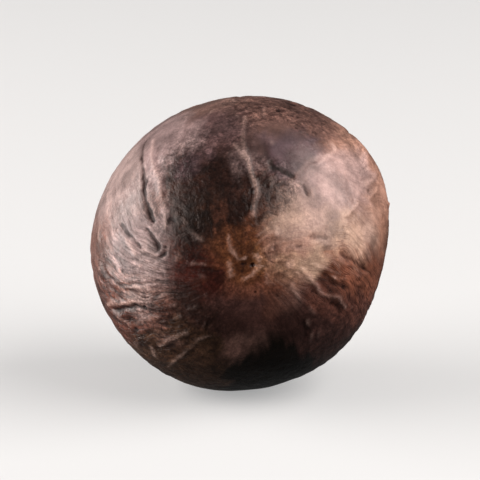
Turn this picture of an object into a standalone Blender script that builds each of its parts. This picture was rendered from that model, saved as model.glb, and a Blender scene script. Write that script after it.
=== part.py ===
"""A whole nutmeg in its shell, modelled as one solid that lies on a small flat spot.

Run it with: blender --background --python part.py
The units are metres, +Z is up, and the scar where the seed hung faces -Y.
A place on the shell is (theta, phi) in degrees: theta is the angle from the scar's end,
and phi goes round the axis from +X, counter-clockwise as seen from the scar's side.
"""

import math
from collections import namedtuple

import bmesh
import bpy
import numpy as np
from mathutils import Vector, noise

MM = 0.001

# Size and form of the egg
WIDTH = 26.5 * MM
LENGTH = 31.0 * MM
SCAR_END_FULLNESS = 0.055
AXIS_RISE = math.radians(5.7)
FOOT_DEPTH = 0.24 * MM

# Fineness of the surface
ROUND_STEPS = 132
END_TO_END_STEPS = 42
END_CROWDING = 0.38

# Turn of the shell's lines between the scar and the far end
SWIRL = math.radians(70)

# Wrinkles that run from end to end
WRINKLES_ROUND = 42
WRINKLE_STRETCH = 2.2
WRINKLE_HEIGHT = 0.085 * MM
WRINKLE_WAVE = 0.16
WRINKLE_FADE = 1.3
SEED_OF_NOISE = Vector((3.7, 11.2, 5.9))

# Slow swellings of the whole seed
SWELLING_HEIGHT = 0.30 * MM
SWELLING_LENGTH = 11.0 * MM

# The scar: a low ring round a sunken middle with one small pit
SCAR_PLACE = (2.1, -31.0)
SCAR_RING_RADIUS = 1.25 * MM
SCAR_RING_WIDTH = 0.36 * MM
SCAR_RING_HEIGHT = 0.09 * MM
SCAR_SINK = 0.12 * MM
SCAR_PIT_PLACE = (4.8, -3.0)
SCAR_PIT_RADIUS = 0.34 * MM
SCAR_PIT_DEPTH = 0.20 * MM

# The far end: a shallow dimple with a low nib beside it
FAR_DIMPLE_RADIUS = 2.6 * MM
FAR_DIMPLE_DEPTH = 0.55 * MM
FAR_NIB_PLACE = (173.0, 40.0)
FAR_NIB_RADIUS = 0.9 * MM
FAR_NIB_HEIGHT = 0.25 * MM

# How wrinkled the shell is: in general, and in round zones laid over one another in turn
Zone = namedtuple("Zone", "place radius wrinkled")
GENERAL_WRINKLES = 0.75
ZONES = [
    Zone((66.0, 105.0), 10.0 * MM, 0.12),
    Zone((34.0, 96.0), 7.2 * MM, 0.14),
    Zone((60.0, 155.0), 7.0 * MM, 0.45),
    Zone((60.0, -148.0), 7.6 * MM, 1.0),
    Zone((50.0, -120.0), 4.2 * MM, 0.7),
    Zone((62.0, -84.0), 7.6 * MM, 0.15),
    Zone((25.0, -110.0), 4.5 * MM, 0.15),
    Zone((50.0, -28.0), 6.2 * MM, 0.5),
    Zone((49.0, 64.0), 5.0 * MM, 0.04),
    Zone((50.0, 22.0), 8.4 * MM, 0.06),
    Zone((80.0, 36.0), 6.0 * MM, 0.15),
]

# Broad flats and bulges of the outline
Lobe = namedtuple("Lobe", "place radius height")
LOBES = [
    Lobe((78.0, 132.0), 9.0 * MM, -0.42 * MM),
    Lobe((82.0, 42.0), 9.0 * MM, 0.24 * MM),
    Lobe((60.0, -60.0), 8.0 * MM, -0.10 * MM),
    Lobe((89.0, 27.0), 4.9 * MM, 0.82 * MM),
    Lobe((90.0, 47.0), 4.5 * MM, 0.26 * MM),
    Lobe((86.0, -10.0), 2.8 * MM, -0.28 * MM),
    Lobe((84.5, -23.0), 2.9 * MM, -0.60 * MM),
    Lobe((82.0, -42.0), 4.0 * MM, -0.14 * MM),
    Lobe((118.0, 175.0), 8.0 * MM, 0.22 * MM),
    Lobe((125.0, 15.0), 9.0 * MM, -0.24 * MM),
    Lobe((138.0, 95.0), 7.0 * MM, 0.20 * MM),
]

# Single creases and ridges, each a bowed line through three places; a crease has a negative height
Crest = namedtuple("Crest", "start middle end width height")
CRESTS = {
    "left_long_crease": Crest((80, 130), (55, 140.5), (35, 161), 0.42 * MM, -0.17 * MM),
    "left_long_ridge": Crest((76, 126), (54, 137), (36, 151), 0.48 * MM, 0.09 * MM),
    "left_inner_crease": Crest((66, 125), (48, 136), (30, 149), 0.38 * MM, -0.12 * MM),
    "left_short_crease": Crest((53, 164), (46, 168), (39, 174), 0.36 * MM, -0.16 * MM),
    "left_hooked_crease": Crest((39, 158), (33, 165), (28, 173), 0.36 * MM, -0.13 * MM),
    "left_level_ridge": Crest((62, -168), (45, -166), (32, -167), 0.40 * MM, 0.06 * MM),
    "left_level_crease": Crest((72, -165), (56, -162), (40, -160), 0.40 * MM, -0.10 * MM),
    "left_low_crease": Crest((70, -158), (50, -154), (36, -151), 0.42 * MM, -0.16 * MM),
    "left_low_ridge": Crest((78, -150), (55, -146.5), (34, -141), 0.42 * MM, 0.10 * MM),
    "left_under_crease": Crest((66, -144), (48, -141), (31, -133), 0.40 * MM, -0.14 * MM),
    "bottom_short_ridge": Crest((64, -134), (45, -130), (30, -121), 0.38 * MM, 0.10 * MM),
    "bottom_long_crease": Crest((76, -125), (52, -124), (34, -117), 0.42 * MM, -0.10 * MM),
    "bottom_long_ridge": Crest((79, -119), (50, -119), (28, -107), 0.38 * MM, 0.12 * MM),
    "bottom_patch_edge": Crest((42, -101), (33, -90), (29, -72), 0.42 * MM, 0.08 * MM),
    "seam_outer": Crest((70, 86), (55, 89.5), (41, 87), 0.38 * MM, 0.12 * MM),
    "seam_inner": Crest((41, 87), (28, 76.5), (14, 75), 0.36 * MM, 0.13 * MM),
    "upper_crack": Crest((50, 80), (41, 68), (40.5, 51), 0.36 * MM, -0.12 * MM),
    "upper_crack_end": Crest((41, 52), (38.5, 46), (36, 39), 0.34 * MM, -0.12 * MM),
    "upper_forked_ridge": Crest((66, 49), (52, 52.5), (41, 52), 0.38 * MM, 0.07 * MM),
    "right_upper_ridge": Crest((70, -4), (45, 2), (20, 3), 0.46 * MM, 0.07 * MM),
    "right_middle_crease": Crest((66, -10), (44, -5.5), (26, -1), 0.40 * MM, -0.12 * MM),
    "right_low_ridge": Crest((62, -31), (40, -22.5), (20, -16), 0.38 * MM, 0.13 * MM),
    "right_low_crease": Crest((57, -35), (40, -28), (24, -22), 0.38 * MM, -0.15 * MM),
    "right_under_ridge": Crest((55, -54), (46, -51), (35, -42.5), 0.40 * MM, 0.10 * MM),
    "right_edge_crease": Crest((88, 21), (74, 24), (62, 22), 0.40 * MM, -0.10 * MM),
}

# Long creases and ridges of the far half, laid out by a seeded rule
FAR_CREST_COUNT = 34
FAR_CREST_SEED = 7
FAR_CREST_START = (78.0, 118.0)
FAR_CREST_END = (122.0, 158.0)
FAR_CREST_BOW = 7.0
FAR_CREST_WIDTH = (0.36 * MM, 0.56 * MM)
FAR_CREST_HEIGHT = (0.07 * MM, 0.17 * MM)
RIDGE_SHARE = 0.7

# How a crest fades: at its two ends, into its banks, and near the flat spot
CREST_SAMPLES = 25
CREST_TAPER = 0.22
BANK_SHARE = 0.30
BANK_WIDTH = 2.2
FOOT_CALM_INNER = 4.0 * MM
FOOT_CALM_OUTER = 7.5 * MM

SHELL_COLOUR = (0.050, 0.022, 0.014, 1.0)
SHELL_ROUGHNESS = 0.38


def egg_radius_scale():
    """The value that makes the widest ring of the egg exactly WIDTH across."""
    angles = np.linspace(0.0, math.pi, 2001)
    return float((np.sin(angles) * (1 + SCAR_END_FULLNESS * np.cos(angles))).max())


RADIUS_SCALE = egg_radius_scale()


def egg_point(theta, phi):
    """A point of the plain egg before it is tilted. Angles are in radians, as numbers or arrays."""
    ring = WIDTH / 2 * np.sin(theta) * (1 + SCAR_END_FULLNESS * np.cos(theta)) / RADIUS_SCALE
    axial = LENGTH / 2 * np.cos(theta)
    return np.stack([ring * np.cos(phi), -axial, ring * np.sin(phi)], axis=-1)


def egg_normal(theta, phi):
    """The outward normal of the plain egg, by the slope of its profile."""
    swell = SCAR_END_FULLNESS
    ring_slope = np.cos(theta) + swell * np.cos(2 * theta)
    ring_slope = WIDTH / 2 * ring_slope / RADIUS_SCALE
    axial_slope = -LENGTH / 2 * np.sin(theta)
    outward = np.stack([-axial_slope * np.cos(phi), -ring_slope, -axial_slope * np.sin(phi)], axis=-1)
    return outward / np.linalg.norm(outward, axis=-1, keepdims=True)


def place_on_egg(place):
    """The egg's point at a place given in degrees."""
    theta, phi = (math.radians(value) for value in place)
    return egg_point(np.array(theta), np.array(phi))


def smooth_step(value, low, high):
    """0 below low, 1 above high, and an S curve between."""
    share = np.clip((value - low) / (high - low), 0.0, 1.0)
    return share * share * (3 - 2 * share)


def bell(distance, radius):
    """A round bump: 1 at no distance, near 0 from two radii on."""
    return np.exp(-((distance / radius) ** 2))


def distance_to(points, place):
    """How far each point lies from a place on the egg."""
    return np.linalg.norm(points - place_on_egg(place), axis=-1)


def crest_relief(points, crest):
    """The height that one crease or ridge adds at each point."""
    share = np.linspace(0.0, 1.0, CREST_SAMPLES)
    start, middle, end = (np.radians(np.array(place, float)) for place in crest[:3])
    turn = 2 * math.pi
    start[1] = middle[1] + (start[1] - middle[1] + math.pi) % turn - math.pi
    end[1] = middle[1] + (end[1] - middle[1] + math.pi) % turn - math.pi
    line = np.empty((CREST_SAMPLES, 2))
    for column in range(2):
        control = 2 * middle[column] - (start[column] + end[column]) / 2
        line[:, column] = (
            (1 - share) ** 2 * start[column]
            + 2 * share * (1 - share) * control
            + share**2 * end[column]
        )
    knots = egg_point(line[:, 0], line[:, 1])
    taper = smooth_step(np.minimum(share, 1 - share), 0.0, CREST_TAPER)
    best = np.full(len(points), np.inf)
    strength = np.zeros(len(points))
    for first, second, low, high in zip(knots[:-1], knots[1:], taper[:-1], taper[1:]):
        run = second - first
        along = np.clip((points - first) @ run / (run @ run), 0.0, 1.0)
        away = np.linalg.norm(points - first - along[:, None] * run, axis=1)
        nearer = away < best
        best = np.where(nearer, away, best)
        strength = np.where(nearer, low + along * (high - low), strength)
    core = bell(best, crest.width) - BANK_SHARE * bell(best, BANK_WIDTH * crest.width)
    return crest.height * strength * core / (1 - BANK_SHARE)


def far_crests():
    """The creases and ridges of the far half, spread evenly round it and turned a little by chance."""
    chance = np.random.default_rng(FAR_CREST_SEED)
    crests = []
    for index in range(FAR_CREST_COUNT):
        flow = 360.0 * (index + chance.uniform(-0.3, 0.3)) / FAR_CREST_COUNT
        start = chance.uniform(*FAR_CREST_START)
        end = chance.uniform(*FAR_CREST_END)
        bow = chance.uniform(-FAR_CREST_BOW, FAR_CREST_BOW)
        places = []
        for theta, swerve in ((start, 0.0), ((start + end) / 2, bow), (end, bow / 2)):
            turn = math.degrees(SWIRL * math.sin(math.radians(theta) / 2))
            places.append((theta, flow + swerve - turn))
        width = chance.uniform(*FAR_CREST_WIDTH)
        height = chance.uniform(*FAR_CREST_HEIGHT) * (-1 if index % 2 else RIDGE_SHARE)
        crests.append(Crest(*places, width, height))
    return crests


def wrinkle_relief(points, theta, flow):
    """Wrinkles that run from end to end: sharp low creases between rounded ridges."""
    turns = WRINKLES_ROUND / (2 * math.pi)
    relief = np.empty(len(points))
    for index, point in enumerate(points):
        wave = noise.noise(Vector(point) / (7.0 * MM) + SEED_OF_NOISE)
        angle = flow[index] + WRINKLE_WAVE * wave
        spot = Vector((math.cos(angle) * turns, math.sin(angle) * turns, theta[index] * WRINKLE_STRETCH))
        value = noise.noise(spot + SEED_OF_NOISE)
        relief[index] = 2 * min(abs(value) * 2.4, 1.0) - 1
    return WRINKLE_HEIGHT * relief * np.sin(theta) ** WRINKLE_FADE


def swelling_relief(points):
    """Slow swellings of the whole seed."""
    values = [noise.noise(Vector(point) / SWELLING_LENGTH + 2 * SEED_OF_NOISE) for point in points]
    return SWELLING_HEIGHT * np.array(values)


def wrinkled_share(points):
    """How wrinkled the shell is at each point, from 0 to 1."""
    share = np.full(len(points), GENERAL_WRINKLES)
    for zone in ZONES:
        away = distance_to(points, zone.place)
        inside = 1 - smooth_step(away, 0.6 * zone.radius, 1.4 * zone.radius)
        share += (zone.wrinkled - share) * inside
    return share


def end_relief(points):
    """The scar's ring and pit at one end, and the dimple and nib at the other."""
    away = distance_to(points, SCAR_PLACE)
    relief = SCAR_RING_HEIGHT * bell(away - SCAR_RING_RADIUS, SCAR_RING_WIDTH)
    relief -= SCAR_SINK * (1 - smooth_step(away, 0.3 * SCAR_RING_RADIUS, SCAR_RING_RADIUS))
    relief -= SCAR_PIT_DEPTH * bell(distance_to(points, SCAR_PIT_PLACE), SCAR_PIT_RADIUS)
    relief -= FAR_DIMPLE_DEPTH * bell(distance_to(points, (180.0, 0.0)), FAR_DIMPLE_RADIUS)
    relief += FAR_NIB_HEIGHT * bell(distance_to(points, FAR_NIB_PLACE), FAR_NIB_RADIUS)
    return relief


def foot_point():
    """The lowest point of the tilted egg, given in the egg before its tilt."""
    theta = np.linspace(math.radians(70), math.radians(110), 401)
    points = egg_point(theta, np.full_like(theta, -math.pi / 2))
    return points[tilt(points)[:, 2].argmin()]


def shell_relief(theta, phi):
    """How far the shell stands out from the plain egg at each place."""
    points = egg_point(theta, phi)
    flow = phi + SWIRL * np.sin(theta / 2)
    fine = wrinkle_relief(points, theta, flow) * wrinkled_share(points)
    for crest in list(CRESTS.values()) + far_crests():
        fine += crest_relief(points, crest)
    broad = swelling_relief(points)
    for lobe in LOBES:
        broad += lobe.height * bell(distance_to(points, lobe.place), lobe.radius)
    from_foot = np.linalg.norm(points - foot_point(), axis=1)
    fine *= smooth_step(from_foot, FOOT_CALM_INNER, FOOT_CALM_OUTER)
    return broad + fine + end_relief(points)


def tilt(points):
    """Raises the scar's end by AXIS_RISE, the way the seed lies at rest."""
    cosine, sine = math.cos(AXIS_RISE), math.sin(AXIS_RISE)
    turned = points.copy()
    turned[:, 1] = points[:, 1] * cosine + points[:, 2] * sine
    turned[:, 2] = points[:, 2] * cosine - points[:, 1] * sine
    return turned


def crowd_ends(theta):
    """Draws the rings closer together towards both ends, where the relief is finest."""
    return theta - END_CROWDING * np.sin(2 * theta) / 2


def shape_egg(mesh):
    """Moves a unit sphere's vertices onto the shell, its meridians along the shell's own lines."""
    unit = np.array([vertex.co for vertex in mesh.verts])
    unit /= np.linalg.norm(unit, axis=1, keepdims=True)
    theta = crowd_ends(np.arccos(np.clip(unit[:, 2], -1.0, 1.0)))
    flow = np.arctan2(unit[:, 1], unit[:, 0])
    phi = flow - SWIRL * np.sin(theta / 2)
    relief = shell_relief(theta, phi)
    points = tilt(egg_point(theta, phi) + relief[:, None] * egg_normal(theta, phi))
    for vertex, point in zip(mesh.verts, points):
        vertex.co = point


def cut_foot(mesh):
    """Cuts the underside flat, closes it and sets the origin under the middle of the seed."""
    lowest = min(vertex.co.z for vertex in mesh.verts)
    level = lowest + FOOT_DEPTH
    bmesh.ops.bisect_plane(
        mesh,
        geom=mesh.verts[:] + mesh.edges[:] + mesh.faces[:],
        dist=1e-7,
        plane_co=(0, 0, level),
        plane_no=(0, 0, -1),
        clear_outer=True,
    )
    rim = [edge for edge in mesh.edges if edge.is_boundary]
    bmesh.ops.holes_fill(mesh, edges=rim, sides=0)
    corners = np.array([vertex.co for vertex in mesh.verts])
    middle = (corners.min(axis=0) + corners.max(axis=0)) / 2
    bmesh.ops.translate(mesh, verts=mesh.verts, vec=(-middle[0], -middle[1], -level))


def shell_material():
    """The dark, satin shell."""
    material = bpy.data.materials.new("nutmeg_shell")
    material.use_nodes = True
    shader = material.node_tree.nodes["Principled BSDF"]
    shader.inputs["Base Color"].default_value = SHELL_COLOUR
    shader.inputs["Roughness"].default_value = SHELL_ROUGHNESS
    shader.inputs["Metallic"].default_value = 0.0
    return material


def build_nutmeg(collection):
    """The seed in its shell, one closed solid."""
    mesh = bmesh.new()
    bmesh.ops.create_uvsphere(
        mesh, u_segments=ROUND_STEPS, v_segments=END_TO_END_STEPS, radius=1.0
    )
    shape_egg(mesh)
    bmesh.ops.recalc_face_normals(mesh, faces=mesh.faces)
    cut_foot(mesh)
    bmesh.ops.recalc_face_normals(mesh, faces=mesh.faces)
    data = bpy.data.meshes.new("nutmeg")
    mesh.to_mesh(data)
    mesh.free()
    data.materials.append(shell_material())
    data.shade_smooth()
    data.set_sharp_from_angle(angle=math.radians(50))
    collection.objects.link(bpy.data.objects.new("nutmeg", data))


def main():
    for leftover in list(bpy.data.objects):
        bpy.data.objects.remove(leftover, do_unlink=True)
    collection = bpy.data.collections.new("whole_nutmeg")
    bpy.context.scene.collection.children.link(collection)
    build_nutmeg(collection)


main()
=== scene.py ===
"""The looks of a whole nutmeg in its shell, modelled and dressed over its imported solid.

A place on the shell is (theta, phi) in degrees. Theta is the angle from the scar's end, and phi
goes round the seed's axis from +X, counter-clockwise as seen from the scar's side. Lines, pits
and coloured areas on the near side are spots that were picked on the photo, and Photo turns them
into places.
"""

import logging
import math
from dataclasses import dataclass, field
from enum import Enum
from functools import cached_property, partial
from itertools import chain
from typing import Iterable, Sequence

import bpy
import numpy as np
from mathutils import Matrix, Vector, noise


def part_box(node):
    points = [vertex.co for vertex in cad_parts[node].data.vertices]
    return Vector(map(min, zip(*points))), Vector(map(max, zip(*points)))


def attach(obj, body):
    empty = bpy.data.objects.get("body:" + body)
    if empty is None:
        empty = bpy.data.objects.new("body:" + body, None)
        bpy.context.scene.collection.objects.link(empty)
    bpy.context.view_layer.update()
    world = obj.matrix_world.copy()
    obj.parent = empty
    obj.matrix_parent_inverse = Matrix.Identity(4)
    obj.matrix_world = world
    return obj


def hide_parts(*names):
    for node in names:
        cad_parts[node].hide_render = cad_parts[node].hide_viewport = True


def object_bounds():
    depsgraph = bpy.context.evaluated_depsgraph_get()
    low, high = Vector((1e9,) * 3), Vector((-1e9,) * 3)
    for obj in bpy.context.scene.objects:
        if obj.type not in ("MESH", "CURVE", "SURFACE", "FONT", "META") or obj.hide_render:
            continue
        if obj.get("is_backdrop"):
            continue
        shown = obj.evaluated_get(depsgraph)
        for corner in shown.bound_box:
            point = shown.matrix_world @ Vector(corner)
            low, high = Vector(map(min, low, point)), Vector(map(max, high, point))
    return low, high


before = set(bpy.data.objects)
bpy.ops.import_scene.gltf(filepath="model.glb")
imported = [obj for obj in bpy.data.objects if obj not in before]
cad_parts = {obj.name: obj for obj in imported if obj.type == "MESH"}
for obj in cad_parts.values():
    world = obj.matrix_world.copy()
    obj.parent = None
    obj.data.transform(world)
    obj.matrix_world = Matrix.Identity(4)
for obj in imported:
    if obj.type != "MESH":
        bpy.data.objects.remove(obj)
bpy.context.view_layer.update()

log = logging.getLogger("nutmeg")

MM = 0.001
NODE = "nutmeg"
NOISE_SEED = np.array((3.7, 11.2, 5.9))
# Without a seed of its own, noise_vector starts from the clock and each run differs.
DRIFT_SEED = 4
WARM = (1.0, 0.955, 0.925)
VIEW_ELEVATION = math.radians(13)


class Attribute(Enum):
    """What the shell's mesh carries for its finish, point by point."""

    FLOW = "flow"
    TINT = "tint"
    CUT = "cut"
    TONE = "tone"
    LEATHER = "leather"
    STREAK = "streak"


class Blend(Enum):
    """How a colour is laid over another."""

    MIX = "MIX"
    MULTIPLY = "MULTIPLY"


class Shade(Enum):
    """The shell's shades, from the darkest to the palest. Some also serve for painted shade and highlight.

    Most were fitted by a study script to the photo's average colour in parts of the shell.
    """

    SOOT = "16100c"
    UMBER = "2b1b17"
    OXBLOOD = "3f1d18"
    BARK = "3a281e"
    COCOA = "422b27"
    PLUM = "46322f"
    RUSSET = "55352d"
    OCHRE = "5e3824"
    DUSK = "563f3e"
    CHESTNUT = "604139"
    SLATE = "58464a"
    MAUVE = "644942"
    BRICK = "734737"
    FAWN = "765a52"
    TAN = "886252"
    ASH = "816c6a"
    AMBER = "9c6a45"
    DUSTY_ROSE = "8e7a76"
    CLAY = "a47c6c"
    CREAM = "a6887b"
    BLUSH = "ae908a"
    IVORY = "d0ab94"


def linear(code: str) -> np.ndarray:
    """Turns a colour written as six hexadecimal digits into linear light.

    Args:
        code: The colour, such as "9a7558".

    Returns:
        Red, green and blue, each from 0 to 1.
    """
    share = np.array([int(code[place:place + 2], 16) / 255 for place in (0, 2, 4)])
    return np.where(share <= 0.04045, share / 12.92, ((share + 0.055) / 1.055) ** 2.4)


def smooth_step(value: np.ndarray, low: float, high: float) -> np.ndarray:
    """Rises from 0 at low to 1 at high in an S curve.

    Args:
        value: Numbers to compare with the two limits.
        low: Where the rise starts.
        high: Where it ends.

    Returns:
        A share from 0 to 1 for each value.
    """
    share = np.clip((value - low) / (high - low), 0.0, 1.0)
    return share * share * (3 - 2 * share)


def bell(distance: np.ndarray, radius: float) -> np.ndarray:
    """A round bump: 1 at no distance and near 0 from two radii on."""
    return np.exp(-((distance / radius) ** 2))


def ripple(spots: np.ndarray, octaves: int = 1) -> np.ndarray:
    """Smooth noise with cells about one unit wide.

    Args:
        spots: Points, one row each, in units of a cell.
        octaves: How many finer layers are added on one another.

    Returns:
        A value from about -1 to 1 for each point.
    """
    total = np.zeros(len(spots))
    for octave in range(octaves):
        scaled = (spots * 2**octave + NOISE_SEED * (1 + octave)).tolist()
        total += np.array([noise.noise(spot) for spot in scaled]) / 2**octave
    return total


def drift(spots: np.ndarray) -> np.ndarray:
    """A smooth random shift for each point, with cells about one unit wide."""
    return np.array([noise.noise_vector(spot) for spot in spots.tolist()])


@dataclass(frozen=True)
class Place:
    """A spot on the shell, in degrees from the scar's end and round the axis."""

    theta: float
    phi: float


@dataclass(frozen=True)
class Egg:
    """The plain egg under the shell's relief, before it is tilted, with its scar end at -Y."""

    width: float = 26.5 * MM
    length: float = 31.0 * MM
    fullness: float = 0.055
    rise: float = math.radians(5.7)
    swirl: float = math.radians(70)
    profile_steps: int = 2001
    foot_search: tuple[float, float] = (math.radians(70), math.radians(110))
    foot_steps: int = 401

    def ring_scale(self) -> float:
        """The value that makes the widest ring exactly as wide as the egg."""
        angles = np.linspace(0.0, math.pi, self.profile_steps)
        return float((np.sin(angles) * (1 + self.fullness * np.cos(angles))).max())

    def points(self, theta: np.ndarray, phi: np.ndarray) -> np.ndarray:
        """Places angles in radians on the egg.

        Args:
            theta: Angle from the scar's end.
            phi: Angle round the axis.

        Returns:
            One point for each pair of angles, in metres.
        """
        ring = self.width / 2 * np.sin(theta) * (1 + self.fullness * np.cos(theta)) / self.ring_scale()
        axial = self.length / 2 * np.cos(theta)
        return np.stack([ring * np.cos(phi), -axial, ring * np.sin(phi)], axis=-1)

    def normals(self, theta: np.ndarray, phi: np.ndarray) -> np.ndarray:
        """Gives the outward directions of the egg, from the slope of its profile.

        Args:
            theta: Angle from the scar's end, in radians.
            phi: Angle round the axis, in radians.

        Returns:
            One unit vector for each pair of angles.
        """
        ring_slope = np.cos(theta) + self.fullness * np.cos(2 * theta)
        ring_slope = self.width / 2 * ring_slope / self.ring_scale()
        axial_slope = -self.length / 2 * np.sin(theta)
        outward = np.stack(
            [-axial_slope * np.cos(phi), -ring_slope, -axial_slope * np.sin(phi)], axis=-1
        )
        return outward / np.linalg.norm(outward, axis=-1, keepdims=True)

    def flow(self, theta: np.ndarray, phi: np.ndarray) -> np.ndarray:
        """The angle that stays the same along one of the shell's own lines."""
        return phi + self.swirl * np.sin(theta / 2)

    def at(self, place: Place) -> np.ndarray:
        """The egg's point at a place."""
        return self.points(np.radians(place.theta), np.radians(place.phi))

    def away(self, points: np.ndarray, place: Place) -> np.ndarray:
        """How far each point lies from a place."""
        return np.linalg.norm(points - self.at(place), axis=-1)

    def tilted(self, points: np.ndarray) -> np.ndarray:
        """Raises the scar's end, the way the seed lies at rest.

        Args:
            points: Points or directions of the upright egg.

        Returns:
            The same points, turned about X.
        """
        cosine, sine = math.cos(self.rise), math.sin(self.rise)
        turned = points.copy()
        turned[:, 1] = points[:, 1] * cosine + points[:, 2] * sine
        turned[:, 2] = points[:, 2] * cosine - points[:, 1] * sine
        return turned

    def foot(self) -> np.ndarray:
        """Finds the lowest point of the tilted egg.

        Returns:
            Where that point is in the egg before its tilt.
        """
        theta = np.linspace(*self.foot_search, self.foot_steps)
        points = self.points(theta, np.full_like(theta, -math.pi / 2))
        return points[self.tilted(points)[:, 2].argmin()]


@dataclass(frozen=True)
class Photo:
    """The photo's view of the seed, on which its lines, pits and areas were picked.

    A spot is (across, down) in steps of a twelfth of a pixel, from the corner of the part of the
    photo that was enlarged for the picking. The place it shows is looked up in a net of places:
    near is how many pixels off the spot it may be seen, and front how far it may lie behind the
    foremost of them.
    """

    crop_left: float = 160.0
    crop_top: float = 98.0
    enlarged: float = 12.0
    middle_across: float = 218.5
    middle_down: float = 157.0
    half_width: float = 54.3
    elevation: float = VIEW_ELEVATION
    egg: Egg = Egg()
    step: float = 0.5
    end: float = 120.0
    near: float = 0.6
    front: float = 1.0 * MM
    hidden_theta: float = 110.0

    @cached_property
    def net(self) -> tuple[np.ndarray, ...]:
        """Lays an even net of places over the egg and sees it as the camera does.

        Returns:
            Theta and phi of each place in degrees, how far across and down the photo shows it in
            pixels, and how far back it lies in metres.
        """
        thetas = np.arange(0.0, self.end, self.step)
        phis = np.arange(-180.0, 180.0, self.step)
        theta, phi = (part.ravel() for part in np.meshgrid(thetas, phis, indexing="ij"))
        points = self.egg.tilted(self.egg.points(np.radians(theta), np.radians(phi)))
        cosine, sine = math.cos(self.elevation), math.sin(self.elevation)
        up = points[:, 2] * cosine + points[:, 1] * sine
        back = points[:, 1] * cosine - points[:, 2] * sine
        scale = self.half_width / (self.egg.width / 2)
        return theta, phi, self.middle_across + points[:, 0] * scale, self.middle_down - up * scale, back

    def place(self, across: float, down: float) -> Place:
        """Finds the place on the near side of the egg that a picked spot shows.

        Args:
            across: How far right of the enlarged part's corner the spot is.
            down: How far below it the spot is.

        Returns:
            The nearest place of the net.
        """
        theta, phi, seen_across, seen_down, back = self.net
        aside = seen_across - self.crop_left - across / self.enlarged
        below = seen_down - self.crop_top - down / self.enlarged
        gaps = aside**2 + below**2
        near = gaps <= max(self.near**2, gaps.min())
        front = np.flatnonzero(near & (back < back[near].min() + self.front))
        best = front[gaps[front].argmin()]
        return Place(float(theta[best]), float(phi[best]))

    def corner(self, spot: tuple[float, float] | float) -> Place:
        """Finds a corner of an area. Its edge is soft, so whole degrees are enough.

        Args:
            spot: A picked spot, or an angle round the axis for a corner out of sight behind the
                seed's edge.

        Returns:
            The corner's place.
        """
        if not isinstance(spot, tuple):
            return Place(self.hidden_theta, spot)
        seen = self.place(*spot)
        return Place(round(seen.theta), round(seen.phi))


PHOTO = Photo()
# Lines are drawn narrower than they were judged on the photo, and on the left broader and darker.
TRACED_BREADTH = 0.92
BOLD_BREADTH = 1.15 * TRACED_BREADTH
BOLD_DARKNESS = 1.35


@dataclass(frozen=True)
class Crest:
    """One fine line of the shell, drawn through its places. A crease has a negative height.

    Its tone tells how it is coloured: from -1 for a dark crease, partly its own colour and partly
    painted shade, to 1 for a pale line, partly its own colour and partly a painted highlight.
    """

    places: tuple[Place, ...]
    width: float
    height: float
    tone: float
    steps: int = 6
    taper: float = 0.5 * MM
    taper_share: float = 0.3
    tip: float = 0.45
    bank_share: float = 0.30
    bank_width: float = 2.2
    tone_width: float = 0.85
    uneven: float = 0.36
    uneven_length: float = 0.9 * MM
    reach_widths: float = 6.0

    def line(self, egg: Egg) -> np.ndarray:
        """Draws the crest's middle line on the egg, as a smooth curve through its places.

        Args:
            egg: The egg that it lies on.

        Returns:
            Points along the line, in metres.
        """
        knots = np.radians([(place.theta, place.phi) for place in self.places])
        knots[:, 1] = np.unwrap(knots[:, 1])
        knots = np.vstack([2 * knots[0] - knots[1], knots, 2 * knots[-1] - knots[-2]])
        spans = []
        for before, first, second, after in zip(knots[:-3], knots[1:-2], knots[2:-1], knots[3:]):
            share = np.linspace(0.0, 1.0, self.steps, endpoint=False)[:, None]
            bend = (2 * before - 5 * first + 4 * second - after) * share**2
            twist = (3 * first - before - 3 * second + after) * share**3
            spans.append(first + ((second - before) * share + bend + twist) / 2)
        angles = np.vstack([*spans, knots[-2]])
        return egg.points(angles[:, 0], angles[:, 1])

    def trace(self, egg: Egg, points: np.ndarray) -> tuple[np.ndarray, np.ndarray, np.ndarray]:
        """Finds the points that the crest reaches.

        Args:
            egg: The egg that it lies on.
            points: Points of the plain egg.

        Returns:
            Which points they are, how far each is from the line, and how strong the line is there.
        """
        knots = self.line(egg)
        far = np.concatenate([[0.0], np.cumsum(np.linalg.norm(np.diff(knots, axis=0), axis=1))])
        taper_end = min(self.taper, self.taper_share * far[-1])
        taper = smooth_step(np.minimum(far, far[-1] - far), 0.0, taper_end)
        middle = knots[len(knots) // 2]
        reach = np.linalg.norm(knots - middle, axis=1).max() + self.reach_widths * self.width
        near = np.flatnonzero(np.linalg.norm(points - middle, axis=1) < reach)
        close = points[near]
        gaps = np.full(len(near), np.inf)
        strength = np.zeros(len(near))
        for first, second, low, high in zip(knots[:-1], knots[1:], taper[:-1], taper[1:]):
            run = second - first
            along = np.clip((close - first) @ run / (run @ run), 0.0, 1.0)
            gap = np.linalg.norm(close - first - along[:, None] * run, axis=1)
            nearer = gap < gaps
            gaps = np.where(nearer, gap, gaps)
            strength = np.where(nearer, low + along * (high - low), strength)
        return near, gaps, strength

    def lay(self, egg: Egg, points: np.ndarray, height: np.ndarray, tone: np.ndarray) -> None:
        """Adds the crest to the heights and tones so far.

        Args:
            egg: The egg that it lies on.
            points: Points of the plain egg.
            height: Height of each point in metres, which it changes.
            tone: Tone of each point, which it changes.
        """
        near, gaps, strength = self.trace(egg, points)
        gaps = gaps * (1 + self.uneven * ripple(points[near] / self.uneven_length, 2))
        gaps /= self.tip + (1 - self.tip) * strength
        core = bell(gaps, self.width) - self.bank_share * bell(gaps, self.bank_width * self.width)
        height[near] += self.height * strength * core / (1 - self.bank_share)
        tone[near] += self.tone * strength * bell(gaps, self.tone_width * self.width)


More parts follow.
